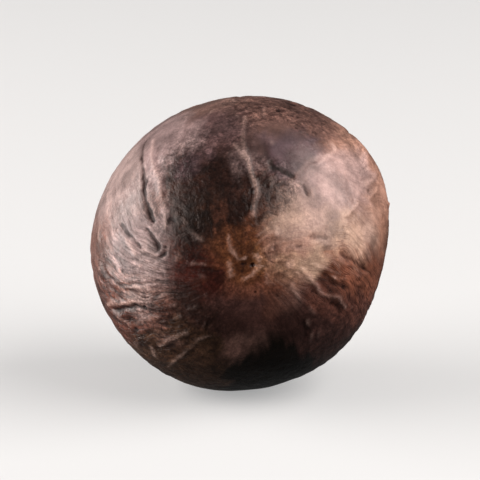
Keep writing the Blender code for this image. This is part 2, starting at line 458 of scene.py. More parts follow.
def crest(width: float, height: float, tone: float, *spots: tuple[float, float],
          breadth: float = TRACED_BREADTH, darkness: float = 1.0) -> Crest:
    """Writes a crest in short, from its line as picked on the photo.

    Args:
        width: Half its breadth as it was judged on the photo, in millimetres.
        height: How far it stands out, in millimetres.
        tone: How dark or pale it is.
        spots: The picked spots that it goes through.
        breadth: What its width is multiplied by.
        darkness: What its tone is multiplied by where it is dark.

    Returns:
        The crest, in metres.
    """
    width = round(width * breadth, 2)
    tone = round(tone * darkness, 2) if tone < 0 else tone
    return Crest(tuple(PHOTO.place(*spot) for spot in spots), width * MM, height * MM, tone)


bold_crest = partial(crest, breadth=BOLD_BREADTH, darkness=BOLD_DARKNESS)

CRESTS = {
    "left side": (
        bold_crest(
            0.25, -0.11, -0.7, (290, 232), (274, 262), (268, 300), (265, 345), (271, 390), (281, 430),
            (292, 475), (297, 515), (304, 548), (317, 578), (329, 604), (340, 634),
        ),
        bold_crest(0.24, -0.05, -0.32, (274, 400), (285, 440), (294, 485), (297, 540)),
        bold_crest(0.25, -0.06, -0.45, (308, 556), (318, 580), (330, 606), (338, 624)),
        bold_crest(0.25, -0.12, -0.98, (298, 632), (316, 656), (335, 690), (350, 714), (366, 742)),
        bold_crest(
            0.25, -0.12, -0.98, (180, 618), (196, 640), (214, 663), (244, 691), (274, 726), (290, 744),
        ),
        bold_crest(0.36, 0.09, 0.8, (208, 684), (224, 705), (248, 735), (276, 773)),
        bold_crest(0.2, -0.06, -0.55, (190, 738), (224, 762), (259, 784), (286, 790)),
        bold_crest(
            0.17, -0.07, -0.7, (284, 734), (302, 756), (326, 764), (349, 771), (376, 761), (396, 740),
        ),
        bold_crest(0.16, -0.06, -0.55, (306, 712), (320, 730), (338, 748), (356, 738), (369, 718)),
        bold_crest(0.17, -0.05, -0.5, (292, 792), (324, 797), (360, 780), (396, 750)),
        bold_crest(
            0.36, 0.08, 0.62, (316, 236), (313, 300), (318, 352), (327, 388), (342, 430), (353, 472),
            (354, 512), (352, 532),
        ),
        bold_crest(0.34, 0.07, 0.8, (360, 535), (376, 566), (384, 600), (390, 668)),
        bold_crest(0.36, -0.04, -0.35, (344, 262), (344, 310), (346, 356)),
        bold_crest(0.28, -0.04, -0.35, (300, 400), (316, 440), (330, 480), (330, 520)),
        bold_crest(0.32, -0.1, -1.1, (396, 594), (413, 611), (440, 634)),
        bold_crest(0.2, -0.06, -0.75, (374, 828), (382, 872)),
        bold_crest(0.2, -0.06, -0.75, (126, 855), (149, 863), (176, 868)),
        bold_crest(0.2, -0.05, -0.6, (101, 668), (104, 704)),
        bold_crest(0.4, 0.07, 0.7, (92, 606), (86, 650), (86, 720)),
        bold_crest(0.3, 0.05, 0.5, (104, 785), (98, 822), (96, 850)),
        bold_crest(0.3, 0.04, 0.7, (168, 650), (186, 654)),
        bold_crest(0.22, -0.05, -0.7, (384, 716), (392, 742)),
        bold_crest(0.3, 0.05, 0.6, (276, 800), (282, 832)),
        bold_crest(0.4, 0.04, 0.55, (330, 820), (360, 828)),
        bold_crest(0.4, 0.05, 0.6, (112, 470), (113, 520)),
    ),
    "lower left": (
        crest(0.18, -0.06, -0.85, (174, 896), (215, 893), (254, 893), (286, 890), (306, 879), (346, 880)),
        crest(0.16, -0.04, -0.7, (174, 906), (192, 906)),
        crest(0.16, -0.04, -0.6, (214, 918), (256, 917)),
        crest(0.18, -0.05, -0.7, (92, 927), (124, 926)),
        crest(0.18, -0.06, -0.85, (316, 944), (344, 939), (372, 927)),
        crest(0.24, 0.04, 0.45, (180, 878), (240, 876), (290, 868)),
        crest(0.22, 0.04, 0.5, (200, 905), (262, 906), (312, 916)),
        crest(0.34, 0.04, 0.5, (126, 950), (160, 962), (190, 958)),
        crest(0.32, 0.08, 1, (128, 980), (184, 972), (240, 967), (298, 966)),
        crest(0.34, -0.1, -0.6, (150, 1003), (186, 1003), (215, 992), (276, 990)),
        crest(0.28, -0.06, -0.9, (168, 1003), (192, 1002)),
        crest(0.26, -0.06, -0.9, (298, 1010), (322, 1012)),
        crest(0.3, 0.02, 0.25, (210, 1006), (250, 1008), (330, 1000)),
        crest(0.34, 0.06, 0.75, (166, 1018), (194, 1040), (218, 1056), (229, 1078)),
        crest(0.3, 0.07, 0.6, (226, 1078), (259, 1061), (304, 1048), (334, 1037), (366, 1038)),
        crest(0.3, -0.05, -0.5, (146, 1034), (170, 1062), (200, 1078)),
        crest(0.22, -0.06, -0.8, (356, 1049), (386, 1048)),
        crest(0.24, -0.05, -0.6, (206, 1085), (226, 1096), (262, 1110), (282, 1118)),
        crest(0.26, -0.08, -0.9, (294, 1102), (319, 1098), (348, 1088)),
        crest(
            0.3, 0.07, 0.68, (340, 1158), (374, 1151), (394, 1131), (424, 1126), (454, 1111), (496, 1100),
        ),
        crest(0.34, -0.07, -0.6, (366, 1170), (404, 1158), (452, 1150)),
        crest(0.46, 0.05, 0.7, (320, 1148), (326, 1180), (336, 1214)),
        crest(0.44, 0.03, 0.45, (262, 1126), (270, 1184)),
        crest(0.18, -0.05, -0.7, (281, 1118), (284, 1168)),
        crest(
            0.28, 0.07, 0.62, (390, 1254), (424, 1226), (449, 1196), (474, 1171), (504, 1151), (549, 1131),
            (592, 1110),
        ),
        crest(0.3, -0.05, -0.5, (406, 1190), (440, 1176), (480, 1152)),
        crest(0.22, 0.05, 0.5, (539, 1096), (546, 1068), (555, 1040)),
        crest(0.2, -0.06, -0.8, (555, 1100), (561, 1050)),
        crest(0.3, 0.04, 0.35, (470, 1008), (500, 992), (530, 974)),
        crest(0.3, 0.03, 0.35, (549, 958), (565, 940)),
        crest(0.3, 0.04, 0.4, (406, 974), (440, 986)),
        crest(0.28, 0.05, 0.4, (420, 1058), (445, 1040), (470, 1024)),
        crest(0.22, -0.05, -0.6, (486, 958), (534, 940)),
        crest(0.24, -0.04, -0.5, (500, 1052), (520, 1040)),
        crest(0.2, -0.03, -0.4, (560, 1200), (600, 1192)),
    ),
    "seam and upper side": (
        crest(
            0.33, 0.1, 0.56, (728, 150), (724, 190), (716, 227), (718, 262), (728, 300), (736, 345),
            (752, 403), (768, 440), (777, 477), (777, 512), (769, 545), (765, 580), (761, 622),
        ),
        crest(0.38, 0.07, 0.65, (684, 262), (692, 292), (712, 314), (733, 338), (738, 366)),
        crest(
            0.26, 0.03, 0.32, (738, 350), (752, 403), (768, 440), (777, 477), (777, 512), (769, 545),
            (763, 600),
        ),
        crest(0.26, 0.04, 0.5, (752, 357), (782, 372), (807, 412), (847, 452)),
        crest(0.3, 0.03, 0.4, (756, 330), (770, 350)),
        crest(0.18, 0.03, 0.65, (866, 447), (894, 452)),
        crest(0.18, 0.03, 0.65, (818, 452), (848, 450)),
        crest(0.2, -0.05, -0.85, (800, 452), (828, 464)),
        crest(0.18, -0.05, -0.9, (860, 464), (898, 464)),
        crest(0.2, -0.04, -0.6, (798, 416), (830, 424)),
        crest(0.22, -0.06, -0.9, (756, 470), (757, 500)),
        crest(0.22, -0.05, -0.7, (750, 530), (752, 576)),
        crest(0.34, -0.05, -0.6, (818, 480), (838, 512), (848, 550)),
        crest(0.34, -0.05, -0.6, (668, 330), (684, 345)),
        crest(0.3, -0.05, -0.6, (690, 378), (716, 396), (736, 412)),
        crest(0.36, -0.06, -0.65, (812, 248), (817, 300), (832, 350)),
        crest(0.42, -0.11, -1, (828, 345), (852, 385), (872, 397), (912, 411), (960, 428)),
        crest(0.34, -0.1, -0.95, (974, 438), (986, 470), (1008, 520)),
        crest(0.3, 0.06, 0.6, (984, 408), (990, 432), (1009, 465), (1030, 524)),
        crest(0.3, 0.07, 0.7, (986, 410), (1002, 386), (1044, 370), (1084, 332), (1109, 306), (1103, 278)),
        crest(0.28, -0.04, -0.4, (1044, 428), (1030, 466)),
        crest(0.2, 0.04, 0.45, (1087, 366), (1124, 356), (1150, 348)),
        crest(0.26, 0.03, 0.45, (1146, 356), (1159, 405), (1152, 462)),
        crest(0.26, 0.02, 0.35, (1160, 470), (1165, 520)),
        crest(0.38, 0.05, 0.7, (835, 258), (852, 294)),
        crest(0.3, 0.03, 0.5, (1190, 458), (1194, 494)),
        crest(0.34, 0.09, 0.95, (1156, 592), (1189, 566), (1209, 546), (1226, 532)),
        crest(0.38, -0.06, -0.7, (1190, 534), (1204, 518)),
        crest(0.3, 0.06, 0.6, (1246, 538), (1276, 500), (1290, 470)),
        crest(0.34, 0.05, 0.6, (1232, 470), (1262, 440), (1268, 410)),
        crest(0.24, -0.05, -0.6, (1252, 500), (1266, 474)),
        crest(0.36, 0.04, 0.6, (1334, 492), (1338, 560), (1336, 620)),
    ),
    "top rim": (
        crest(0.3, 0.06, 0.7, (612, 84), (664, 76), (694, 94)),
        crest(0.2, 0.05, 0.6, (560, 150), (584, 128), (604, 116)),
        crest(0.2, 0.04, 0.6, (600, 152), (636, 146)),
        crest(0.22, 0.05, 0.7, (676, 148), (704, 168)),
        crest(0.3, 0.05, 0.6, (720, 98), (752, 76)),
        crest(0.36, 0.05, 0.6, (784, 78), (822, 78)),
        crest(0.36, 0.04, 0.6, (450, 140), (470, 160)),
        crest(0.2, 0.04, 0.5, (836, 118), (850, 120), (872, 118)),
        crest(0.26, -0.05, -0.75, (682, 112), (688, 126)),
        crest(0.24, -0.04, -0.55, (674, 194), (678, 216)),
        crest(0.34, -0.07, -0.75, (832, 130), (834, 182)),
        crest(0.24, -0.05, -0.65, (862, 174), (900, 174)),
        crest(0.34, -0.06, -0.75, (850, 92), (884, 78)),
        crest(0.46, -0.08, -0.8, (904, 94), (925, 112), (950, 130)),
        crest(0.34, -0.05, -0.6, (960, 150), (1006, 156)),
        crest(0.34, 0.05, 0.5, (812, 112), (812, 172)),
        crest(0.34, 0.04, 0.6, (1016, 180), (1030, 184)),
        crest(0.36, 0.06, 0.75, (1088, 262), (1104, 288), (1110, 312)),
        crest(0.3, -0.05, -0.6, (1122, 276), (1134, 300)),
        crest(0.34, 0.04, 0.5, (1172, 250), (1222, 300)),
    ),
    "right side": (
        crest(0.36, -0.05, -0.85, (936, 722), (982, 725)),
        crest(0.42, -0.05, -0.7, (998, 676), (1004, 690), (1064, 690), (1094, 680)),
        crest(0.3, -0.03, -0.55, (1058, 655), (1090, 654)),
        crest(0.22, -0.05, -0.65, (854, 716), (859, 746)),
        crest(0.46, -0.05, -0.6, (842, 768), (900, 765)),
        crest(0.5, 0.05, 1, (887, 805), (950, 803)),
        crest(0.34, 0.05, 0.75, (838, 648), (856, 656), (862, 694)),
        crest(0.28, 0.03, 0.6, (842, 722), (842, 748)),
        crest(0.3, -0.09, -0.75, (1122, 753), (1159, 770), (1194, 785), (1224, 805), (1258, 832)),
        crest(0.28, -0.08, -0.7, (1050, 833), (1080, 862), (1108, 884), (1150, 900), (1176, 918)),
        crest(0.34, -0.05, -0.6, (1044, 866), (1070, 894)),
        crest(0.28, 0.05, 0.6, (1092, 856), (1126, 866)),
        crest(
            0.34, 0.1, 0.75, (960, 815), (980, 833), (1009, 867), (1039, 907), (1064, 932), (1094, 946),
            (1129, 952), (1154, 977), (1170, 994),
        ),
        crest(0.36, -0.1, -0.85, (1086, 976), (1124, 982), (1160, 1014)),
        crest(0.34, -0.04, -0.45, (1049, 964), (1054, 1044)),
        crest(0.3, 0.08, 0.8, (912, 884), (934, 912), (959, 942), (970, 958)),
        crest(0.32, 0.05, 0.45, (990, 974), (1024, 1007), (1036, 1034)),
        crest(0.32, -0.05, -0.8, (1006, 922), (1022, 930)),
        crest(0.22, -0.04, -0.7, (976, 940), (992, 944)),
        crest(0.36, 0.07, 0.7, (996, 1034), (996, 1084)),
        crest(0.28, 0.05, 0.5, (1016, 1090), (1016, 1156)),
        crest(0.22, 0.04, 0.4, (1044, 1084), (1044, 1144)),
        crest(0.3, -0.05, -0.55, (974, 1038), (990, 1090), (994, 1140)),
        crest(0.24, -0.05, -0.65, (1173, 936), (1178, 980)),
        crest(0.24, -0.05, -0.65, (1203, 932), (1208, 976)),
        crest(0.26, -0.05, -0.65, (1223, 932), (1224, 986)),
        crest(0.36, 0.04, 0.75, (1162, 980), (1168, 1000)),
        crest(0.34, 0.03, 0.55, (1190, 980), (1196, 1000)),
        crest(0.24, -0.05, -0.55, (1200, 870), (1238, 868)),
        crest(0.24, -0.05, -0.5, (1160, 850), (1190, 880)),
        crest(0.26, -0.04, -0.5, (1142, 904), (1160, 920)),
        crest(0.4, 0.04, 0.7, (1218, 746), (1242, 752)),
        crest(0.34, 0.05, 0.6, (1062, 762), (1104, 790), (1140, 826)),
        crest(0.3, -0.03, -0.4, (1190, 1024), (1230, 1020)),
        crest(0.22, 0.05, 0.6, (1010, 800), (1060, 812), (1100, 836), (1150, 848)),
        crest(0.2, 0.04, 0.5, (1090, 850), (1130, 868), (1180, 872)),
        crest(0.22, 0.05, 0.55, (1120, 780), (1170, 806), (1230, 836), (1270, 850)),
        crest(0.22, 0.04, 0.5, (1180, 842), (1240, 856)),
        crest(0.2, -0.05, -0.6, (1165, 880), (1215, 900), (1250, 905)),
        crest(0.2, 0.03, 0.45, (930, 838), (960, 856), (1000, 892)),
    ),
    "round the scar": (
        crest(
            0.28, 0.06, 0.8, (652, 662), (657, 710), (672, 745), (692, 770), (712, 780), (735, 773),
            (752, 762),
        ),
        crest(0.3, 0.07, 0.8, (672, 772), (664, 792), (661, 816), (666, 842), (684, 858), (706, 864)),
        crest(
            0.3, 0.07, 0.8, (700, 864), (728, 862), (754, 852), (774, 836), (790, 812), (791, 790),
            (780, 770), (764, 758), (748, 762),
        ),
        crest(0.22, -0.03, -0.6, (684, 800), (692, 820), (688, 842)),
        crest(0.3, -0.05, -1, (698, 796), (716, 802), (742, 790)),
        crest(0.34, -0.04, -0.8, (704, 824), (732, 834)),
        crest(0.3, -0.04, -0.65, (804, 782), (805, 816)),
        crest(0.4, -0.03, -0.5, (784, 862), (798, 876), (808, 898)),
        crest(0.36, 0.03, 0.5, (824, 832), (820, 866), (834, 902)),
        crest(0.34, -0.03, -0.4, (852, 846), (858, 872)),
        crest(0.46, 0.03, 0.6, (788, 664), (798, 684)),
        crest(0.36, 0.04, 0.55, (474, 800), (530, 799), (578, 801)),
        crest(0.3, -0.03, -0.4, (480, 777), (570, 780)),
        crest(0.32, -0.04, -0.55, (480, 822), (560, 824), (640, 830)),
        crest(0.5, 0.03, 0.4, (518, 858), (562, 850)),
        crest(0.36, 0.05, 0.6, (474, 646), (520, 680), (566, 713)),
        crest(0.32, 0.04, 0.55, (448, 596), (470, 620), (488, 643)),
        crest(0.36, 0.03, 0.45, (450, 742), (440, 775), (440, 806)),
        crest(0.3, -0.03, -0.5, (652, 600), (656, 642)),
        crest(0.24, -0.03, -0.5, (690, 606), (692, 646)),
        crest(0.34, -0.04, -0.6, (790, 604), (782, 640)),
        crest(0.34, -0.02, -0.4, (610, 676), (620, 700)),
        crest(0.28, -0.03, -0.5, (530, 640), (556, 664)),
    ),
}


@dataclass(frozen=True)
class Patch:
    """A round area of the shell."""

    place: Place
    radius: float

    def mask(self, egg: Egg, points: np.ndarray, waver: np.ndarray, soft: float) -> np.ndarray:
        """Tells how far each point is inside the patch.

        Args:
            egg: The egg that it lies on.
            points: Points of the plain egg.
            waver: What is added to each point's distance, to make the edge uneven.
            soft: The share of the radius over which the edge fades.

        Returns:
            1 inside, 0 outside, and an S curve across the edge.
        """
        away = egg.away(points, self.place) + waver
        return 1 - smooth_step(away, (1 - soft) * self.radius, (1 + soft) * self.radius)


@dataclass(frozen=True)
class Zone:
    """A patch where something has its own strength."""

    patch: Patch
    strength: float


def zone(theta: float, phi: float, radius: float, strength: float) -> Zone:
    """Writes a zone in short, with its radius in millimetres."""
    return Zone(Patch(Place(theta, phi), radius * MM), strength)


@dataclass(frozen=True)
class Spread:
    """How strong something is over the whole shell: one general strength, and zones laid over it."""

    ground: float
    zones: tuple[Zone, ...]
    soft: float = 0.4

    def at(self, egg: Egg, points: np.ndarray, waver: np.ndarray) -> np.ndarray:
        """Works out the strength.

        Args:
            egg: The egg that the zones lie on.
            points: Points of the plain egg.
            waver: What makes the zones' edges uneven.

        Returns:
            A strength for each point.
        """
        level = np.full(len(points), self.ground)
        for part in self.zones:
            level += (part.strength - level) * part.patch.mask(egg, points, waver, self.soft)
        return level


@dataclass(frozen=True)
class Lobe:
    """A broad flat or bulge of the outline."""

    place: Place
    radius: float
    height: float


@dataclass(frozen=True)
class Ring:
    """A thin round weal on the shell."""

    place: Place
    radius: float
    width: float
    height: float
    tone: float


@dataclass(frozen=True)
class Dot:
    """A small round pit on the shell."""

    place: Place
    radius: float
    depth: float
    tone: float


def dot(spot: tuple[float, float], radius: float, depth: float, tone: float) -> Dot:
    """Writes a dot in short, with its spot on the photo, and its radius and depth in millimetres."""
    return Dot(PHOTO.place(*spot), radius * MM, depth * MM, tone)


@dataclass(frozen=True)
class FarCrests:
    """The rule that lays creases and ridges over the half of the seed that faces away."""

    count: int = 34
    seed: int = 7
    start: tuple[float, float] = (78.0, 118.0)
    end: tuple[float, float] = (122.0, 158.0)
    jitter: float = 0.3
    bow: float = 7.0
    width: tuple[float, float] = (0.18 * MM, 0.38 * MM)
    height: tuple[float, float] = (0.07 * MM, 0.17 * MM)
    ridge_share: float = 0.7
    tone: float = 0.8

    def lay(self, egg: Egg) -> list[Crest]:
        """Spreads the crests evenly round the seed, each turned a little by chance.

        Args:
            egg: The egg whose flow they follow.

        Returns:
            The crests.
        """
        chance = np.random.default_rng(self.seed)
        made = []
        for index in range(self.count):
            flow = 360.0 * (index + chance.uniform(-self.jitter, self.jitter)) / self.count
            start = chance.uniform(*self.start)
            end = chance.uniform(*self.end)
            bow = chance.uniform(-self.bow, self.bow)
            places = []
            for theta, swerve in ((start, 0.0), ((start + end) / 2, bow), (end, bow / 2)):
                turn = math.degrees(egg.swirl * math.sin(math.radians(theta) / 2))
                places.append(Place(theta, flow + swerve - turn))
            width = chance.uniform(*self.width)
            sign = -1.0 if index % 2 else self.ridge_share
            height = chance.uniform(*self.height) * sign
            made.append(Crest(tuple(places), width, height, self.tone * sign))
        return made


@dataclass
class Relief:
    """What the shell's relief measures at each point of the egg."""

    height: np.ndarray
    cut: np.ndarray
    tone: np.ndarray
    flow: np.ndarray
    wrinkled: np.ndarray
    leather: np.ndarray


@dataclass(frozen=True)
class ShellRelief:
    """All that makes the shell stand out from the plain egg, from slow swellings to fine lines."""

    wrinkles_round: int = 76
    wrinkle_stretch: float = 4.5
    wrinkle_height: float = 0.045 * MM
    wrinkle_wave: float = 0.16
    wrinkle_fade: float = 1.3
    wave_length: float = 7.0 * MM
    short_wave: float = 0.35
    short_wave_length: float = 2.2 * MM
    line_sharpness: float = 2.4
    fine_round: int = 118
    fine_stretch: float = 8.0
    fine_height: float = 0.016 * MM
    fine_floor: float = 0.12
    dent_length: float = 2.4 * MM
    dent_height: float = 0.045 * MM
    leather_length: float = 0.62 * MM
    leather_height: float = 0.032 * MM
    pit_length: float = 0.80 * MM
    pit_depth: float = 0.075 * MM
    pit_edge: tuple[float, float] = (0.05, 0.30)
    least_pitting: float = 0.02
    swelling_length: float = 11.0 * MM
    swelling_height: float = 0.30 * MM
    wander_length: float = 2.0 * MM
    wander: float = 0.22 * MM
    wander_layers: tuple[tuple[float, float], ...] = ((1.0, 1.0), (0.35, 0.4), (0.14, 0.35))
    lively: float = 0.5
    lively_length: float = 1.6 * MM
    lively_tone: float = 0.4
    zone_waver: float = 1.0 * MM
    zone_waver_length: float = 2.6 * MM
    scar_sink: float = 0.10 * MM
    scar_slope: tuple[float, float] = (0.3, 1.1)
    ring_break_length: float = 0.9 * MM
    ring_break_spot: float = 4.0
    ring_break_edge: tuple[float, float] = (-0.35, 0.25)
    ring_height_left: float = 0.6
    ring_tone_left: float = 0.4
    rings: tuple[Ring, ...] = (
        Ring(Place(2.1, -31.0), 1.25 * MM, 0.30 * MM, 0.05 * MM, 0.12),
        Ring(Place(14.0, -22.0), 0.60 * MM, 0.20 * MM, 0.03 * MM, 0.25),
        Ring(Place(21.0, -16.0), 0.55 * MM, 0.20 * MM, 0.03 * MM, 0.2),
    )
    dots: tuple[Dot, ...] = (
        dot((759, 807), 0.22, 0.2, -1.8),
        dot((713, 761), 0.16, 0.05, -0.9),
        dot((684, 866), 0.24, 0.05, -0.8),
        dot((773, 928), 0.16, 0.09, -1.05),
        dot((869, 941), 0.17, 0.08, -0.8),
        dot((196, 834), 0.24, 0.1, -1.2),
        dot((104, 843), 0.18, 0.08, -1),
        dot((294, 991), 0.24, 0.16, -1.8),
        dot((254, 1085), 0.3, 0.15, -1.6),
        dot((289, 928), 0.18, 0.08, -1.1),
        dot((294, 948), 0.16, 0.06, -1),
        dot((870, 137), 0.28, 0.16, -1.7),
        dot((952, 209), 0.22, 0.1, -1.2),
        dot((292, 830), 0.2, 0.05, -0.6),
        dot((664, 1038), 0.2, 0.04, -0.7),
        dot((244, 848), 0.22, 0.05, -0.7),
        dot((308, 716), 0.16, 0.04, -0.6),
    )
    dimple_radius: float = 2.6 * MM
    dimple_depth: float = 0.55 * MM
    nib_place: Place = Place(173.0, 40.0)
    nib_radius: float = 0.9 * MM
    nib_height: float = 0.25 * MM
    calm_inner: float = 4.0 * MM
    calm_outer: float = 7.5 * MM
    wrinkles: Spread = Spread(0.75, (
        zone(66, 105, 10.0, 0.12),
        zone(34, 96, 7.2, 0.08),
        zone(65, 146, 8.0, 0.10),
        zone(52, 170, 5.4, 0.45),
        zone(60, -148, 7.6, 1.0),
        zone(50, -120, 4.2, 0.7),
        zone(62, -84, 7.6, 0.15),
        zone(25, -110, 4.5, 0.15),
        zone(49, 64, 5.0, 0.04),
        zone(50, 22, 7.8, 0.02),
        zone(54, -24, 6.0, 0.8),
        zone(46, -52, 5.4, 0.2),
        zone(80, 36, 6.0, 0.2),
        zone(72, 13, 5.0, 0.25),
    ))
    leather: Spread = Spread(0.5, (
        zone(72, 110, 9.0, 0.32),
        zone(64, 150, 8.0, 0.17),
        zone(58, -176, 7.0, 0.24),
        zone(56, -150, 6.0, 0.55),
        zone(33, 105, 6.6, 0.75),
        zone(40, -125, 4.0, 0.8),
        zone(58, -85, 7.0, 0.45),
        zone(46, -20, 5.6, 0.5),
        zone(72, 76, 4.6, 0.9),
        zone(48, 64, 3.6, 0.12),
        zone(50, 22, 7.4, 0.16),
        zone(26, 6, 4.4, 0.25),
        zone(32, 70, 2.6, 0.9),
        zone(4, -10, 3.4, 0.55),
        zone(30, -70, 4.6, 0.3),
    ))
    pitting: Spread = Spread(0.0, (
        zone(48, -24, 5.2, 0.6),
        zone(71, 70, 4.2, 0.8),
        zone(52, -127, 3.6, 1.0),
        zone(60, -152, 5.0, 0.5),
        zone(120, -20, 8.0, 0.6),
        zone(130, 150, 7.0, 0.6),
    ))
    lobes: tuple[Lobe, ...] = (
        Lobe(Place(78.0, 132.0), 9.0 * MM, -0.42 * MM),
        Lobe(Place(82.0, 42.0), 9.0 * MM, 0.24 * MM),
        Lobe(Place(60.0, -60.0), 8.0 * MM, -0.10 * MM),
        Lobe(Place(89.0, 27.0), 4.9 * MM, 0.82 * MM),
        Lobe(Place(90.0, 47.0), 4.5 * MM, 0.26 * MM),
        Lobe(Place(86.0, -10.0), 2.8 * MM, -0.28 * MM),
        Lobe(Place(84.5, -23.0), 2.9 * MM, -0.60 * MM),
        Lobe(Place(82.0, -42.0), 4.0 * MM, -0.14 * MM),
        Lobe(Place(118.0, 175.0), 8.0 * MM, 0.22 * MM),
        Lobe(Place(125.0, 15.0), 9.0 * MM, -0.24 * MM),
        Lobe(Place(138.0, 95.0), 7.0 * MM, 0.20 * MM),
    )
    far: FarCrests = field(default_factory=FarCrests)

    def waved_flow(self, egg: Egg, points: np.ndarray, theta: np.ndarray, phi: np.ndarray) -> np.ndarray:
        """The flow angle with the slow waves that make the wrinkles wander and meet."""
        wave = ripple(points / self.wave_length) + self.short_wave * ripple(points / self.short_wave_length)
        return egg.flow(theta, phi) + self.wrinkle_wave * wave

    def wandered(self, points: np.ndarray) -> np.ndarray:
        """Shifts points a little by noise, so that a line drawn on them wanders.

        Args:
            points: Points of the plain egg.

        Returns:
            The shifted points.
        """
        shift = np.zeros_like(points)
        for length, strength in self.wander_layers:
            shift += strength * drift(points / (length * self.wander_length))
        return points + self.wander * shift

    def lines(self, flow: np.ndarray, theta: np.ndarray, count: int, stretch: float) -> np.ndarray:
        """Draws lines from end to end: sharp low creases between rounded ridges.

        Args:
            flow: Flow angle of each point.
            theta: Angle of each point from the scar's end.
            count: Lines in one turn round the seed.
            stretch: Cells from end to end for each radian.

        Returns:
            -1 in a crease and up to 1 on a ridge.
        """
        turns = count / (2 * math.pi)
        spots = np.stack([np.cos(flow) * turns, np.sin(flow) * turns, theta * stretch], axis=-1)
        return 2 * np.minimum(np.abs(ripple(spots)) * self.line_sharpness, 1.0) - 1

    def crests(self, egg: Egg, points: np.ndarray) -> tuple[np.ndarray, np.ndarray]:
        """Lays every crest, ring and dot.

        Args:
            egg: The egg that they lie on.
            points: Points of the plain egg.

        Returns:
            Height in metres and tone of each point.
        """
        wandered = self.wandered(points)
        height = np.zeros(len(points))
        tone = np.zeros(len(points))
        for line in (*chain(*CRESTS.values()), *self.far.lay(egg)):
            line.lay(egg, wandered, height, tone)
        lively = 1 + self.lively * ripple(points / self.lively_length)
        height *= lively
        tone *= 1 + self.lively_tone * (lively - 1)
        broken = smooth_step(
            ripple(points / self.ring_break_length + self.ring_break_spot), *self.ring_break_edge
        )
        for ring in self.rings:
            weal = bell(egg.away(wandered, ring.place) - ring.radius, ring.width)
            height += ring.height * weal * (self.ring_height_left + (1 - self.ring_height_left) * broken)
            tone += ring.tone * weal * (self.ring_tone_left + (1 - self.ring_tone_left) * broken)
        for pit in self.dots:
            hollow = bell(egg.away(points, pit.place), pit.radius)
            height -= pit.depth * hollow
            tone += pit.tone * hollow
        return height, tone

    def ends(self, egg: Egg, points: np.ndarray) -> np.ndarray:
        """Sinks the scar a little at one end, and shapes the dimple and nib at the other.

        Args:
            egg: The egg that they lie on.
            points: Points of the plain egg.

        Returns:
            A height for each point, in metres.
        """
        scar = self.rings[0]
        away = egg.away(points, scar.place)
        floor, brim = self.scar_slope
        relief = -self.scar_sink * (1 - smooth_step(away, floor * scar.radius, brim * scar.radius))
        relief -= self.dimple_depth * bell(egg.away(points, Place(180.0, 0.0)), self.dimple_radius)
        relief += self.nib_height * bell(egg.away(points, self.nib_place), self.nib_radius)
        return relief

    def pits(self, points: np.ndarray, pitting: np.ndarray) -> np.ndarray:
        """Small round pits, one in each cell of the zones that have them.

        Args:
            points: Points of the plain egg.
            pitting: How pitted the shell is at each point.

        Returns:
            A height for each point, zero or less, in metres.
        """
        nearest = np.ones(len(points))
        chosen = np.flatnonzero(pitting > self.least_pitting)
        cells = (points[chosen] / self.pit_length).tolist()
        nearest[chosen] = [noise.voronoi(cell)[0][0] for cell in cells]
        return -self.pit_depth * pitting * (1 - smooth_step(nearest, *self.pit_edge))

    def measure(self, egg: Egg, theta: np.ndarray, phi: np.ndarray) -> Relief:
        """Adds up the relief.

        Args:
            egg: The egg under it.
            theta: Angle of each point from the scar's end, in radians.
            phi: Angle of each point round the axis, in radians.

        Returns:
            What the relief measures at each point.
        """
        points = egg.points(theta, phi)
        flow = self.waved_flow(egg, points, theta, phi)
        waver = self.zone_waver * ripple(points / self.zone_waver_length, 2)
        wrinkled = self.wrinkles.at(egg, points, waver)
        spread = np.sin(theta) ** self.wrinkle_fade
        cut = self.wrinkle_height * self.lines(flow, theta, self.wrinkles_round, self.wrinkle_stretch)
        cut *= wrinkled * spread
        fine = self.fine_height * self.lines(flow, theta, self.fine_round, self.fine_stretch)
        cut += fine * (self.fine_floor + (1 - self.fine_floor) * wrinkled) * spread
        crest_height, tone = self.crests(egg, points)
        cut += crest_height
        cut += self.pits(points, self.pitting.at(egg, points, waver))
        leather = self.leather.at(egg, points, waver)
        cut += self.leather_height * leather * ripple(points / self.leather_length, 2)
        from_foot = np.linalg.norm(points - egg.foot(), axis=1)
        cut *= smooth_step(from_foot, self.calm_inner, self.calm_outer)
        broad = self.swelling_height * ripple(points / self.swelling_length + NOISE_SEED)
        broad += self.dent_height * ripple(points / self.dent_length, 2) * spread
        for lobe in self.lobes:
            broad += lobe.height * bell(egg.away(points, lobe.place), lobe.radius)
        return Relief(broad + cut + self.ends(egg, points), cut, tone, flow, wrinkled, leather)


@dataclass(frozen=True)
class Wash:
    """A soft wash of colour over a round area, with an uneven edge."""

    patch: Patch
    shade: Shade
    strength: float
    soft: float = 0.45


def wash(theta: float, phi: float, radius: float, shade: Shade, strength: float, soft: float = 0.45) -> Wash:
    """Writes a wash in short, with its radius in millimetres."""
    return Wash(Patch(Place(theta, phi), radius * MM), shade, strength, soft)


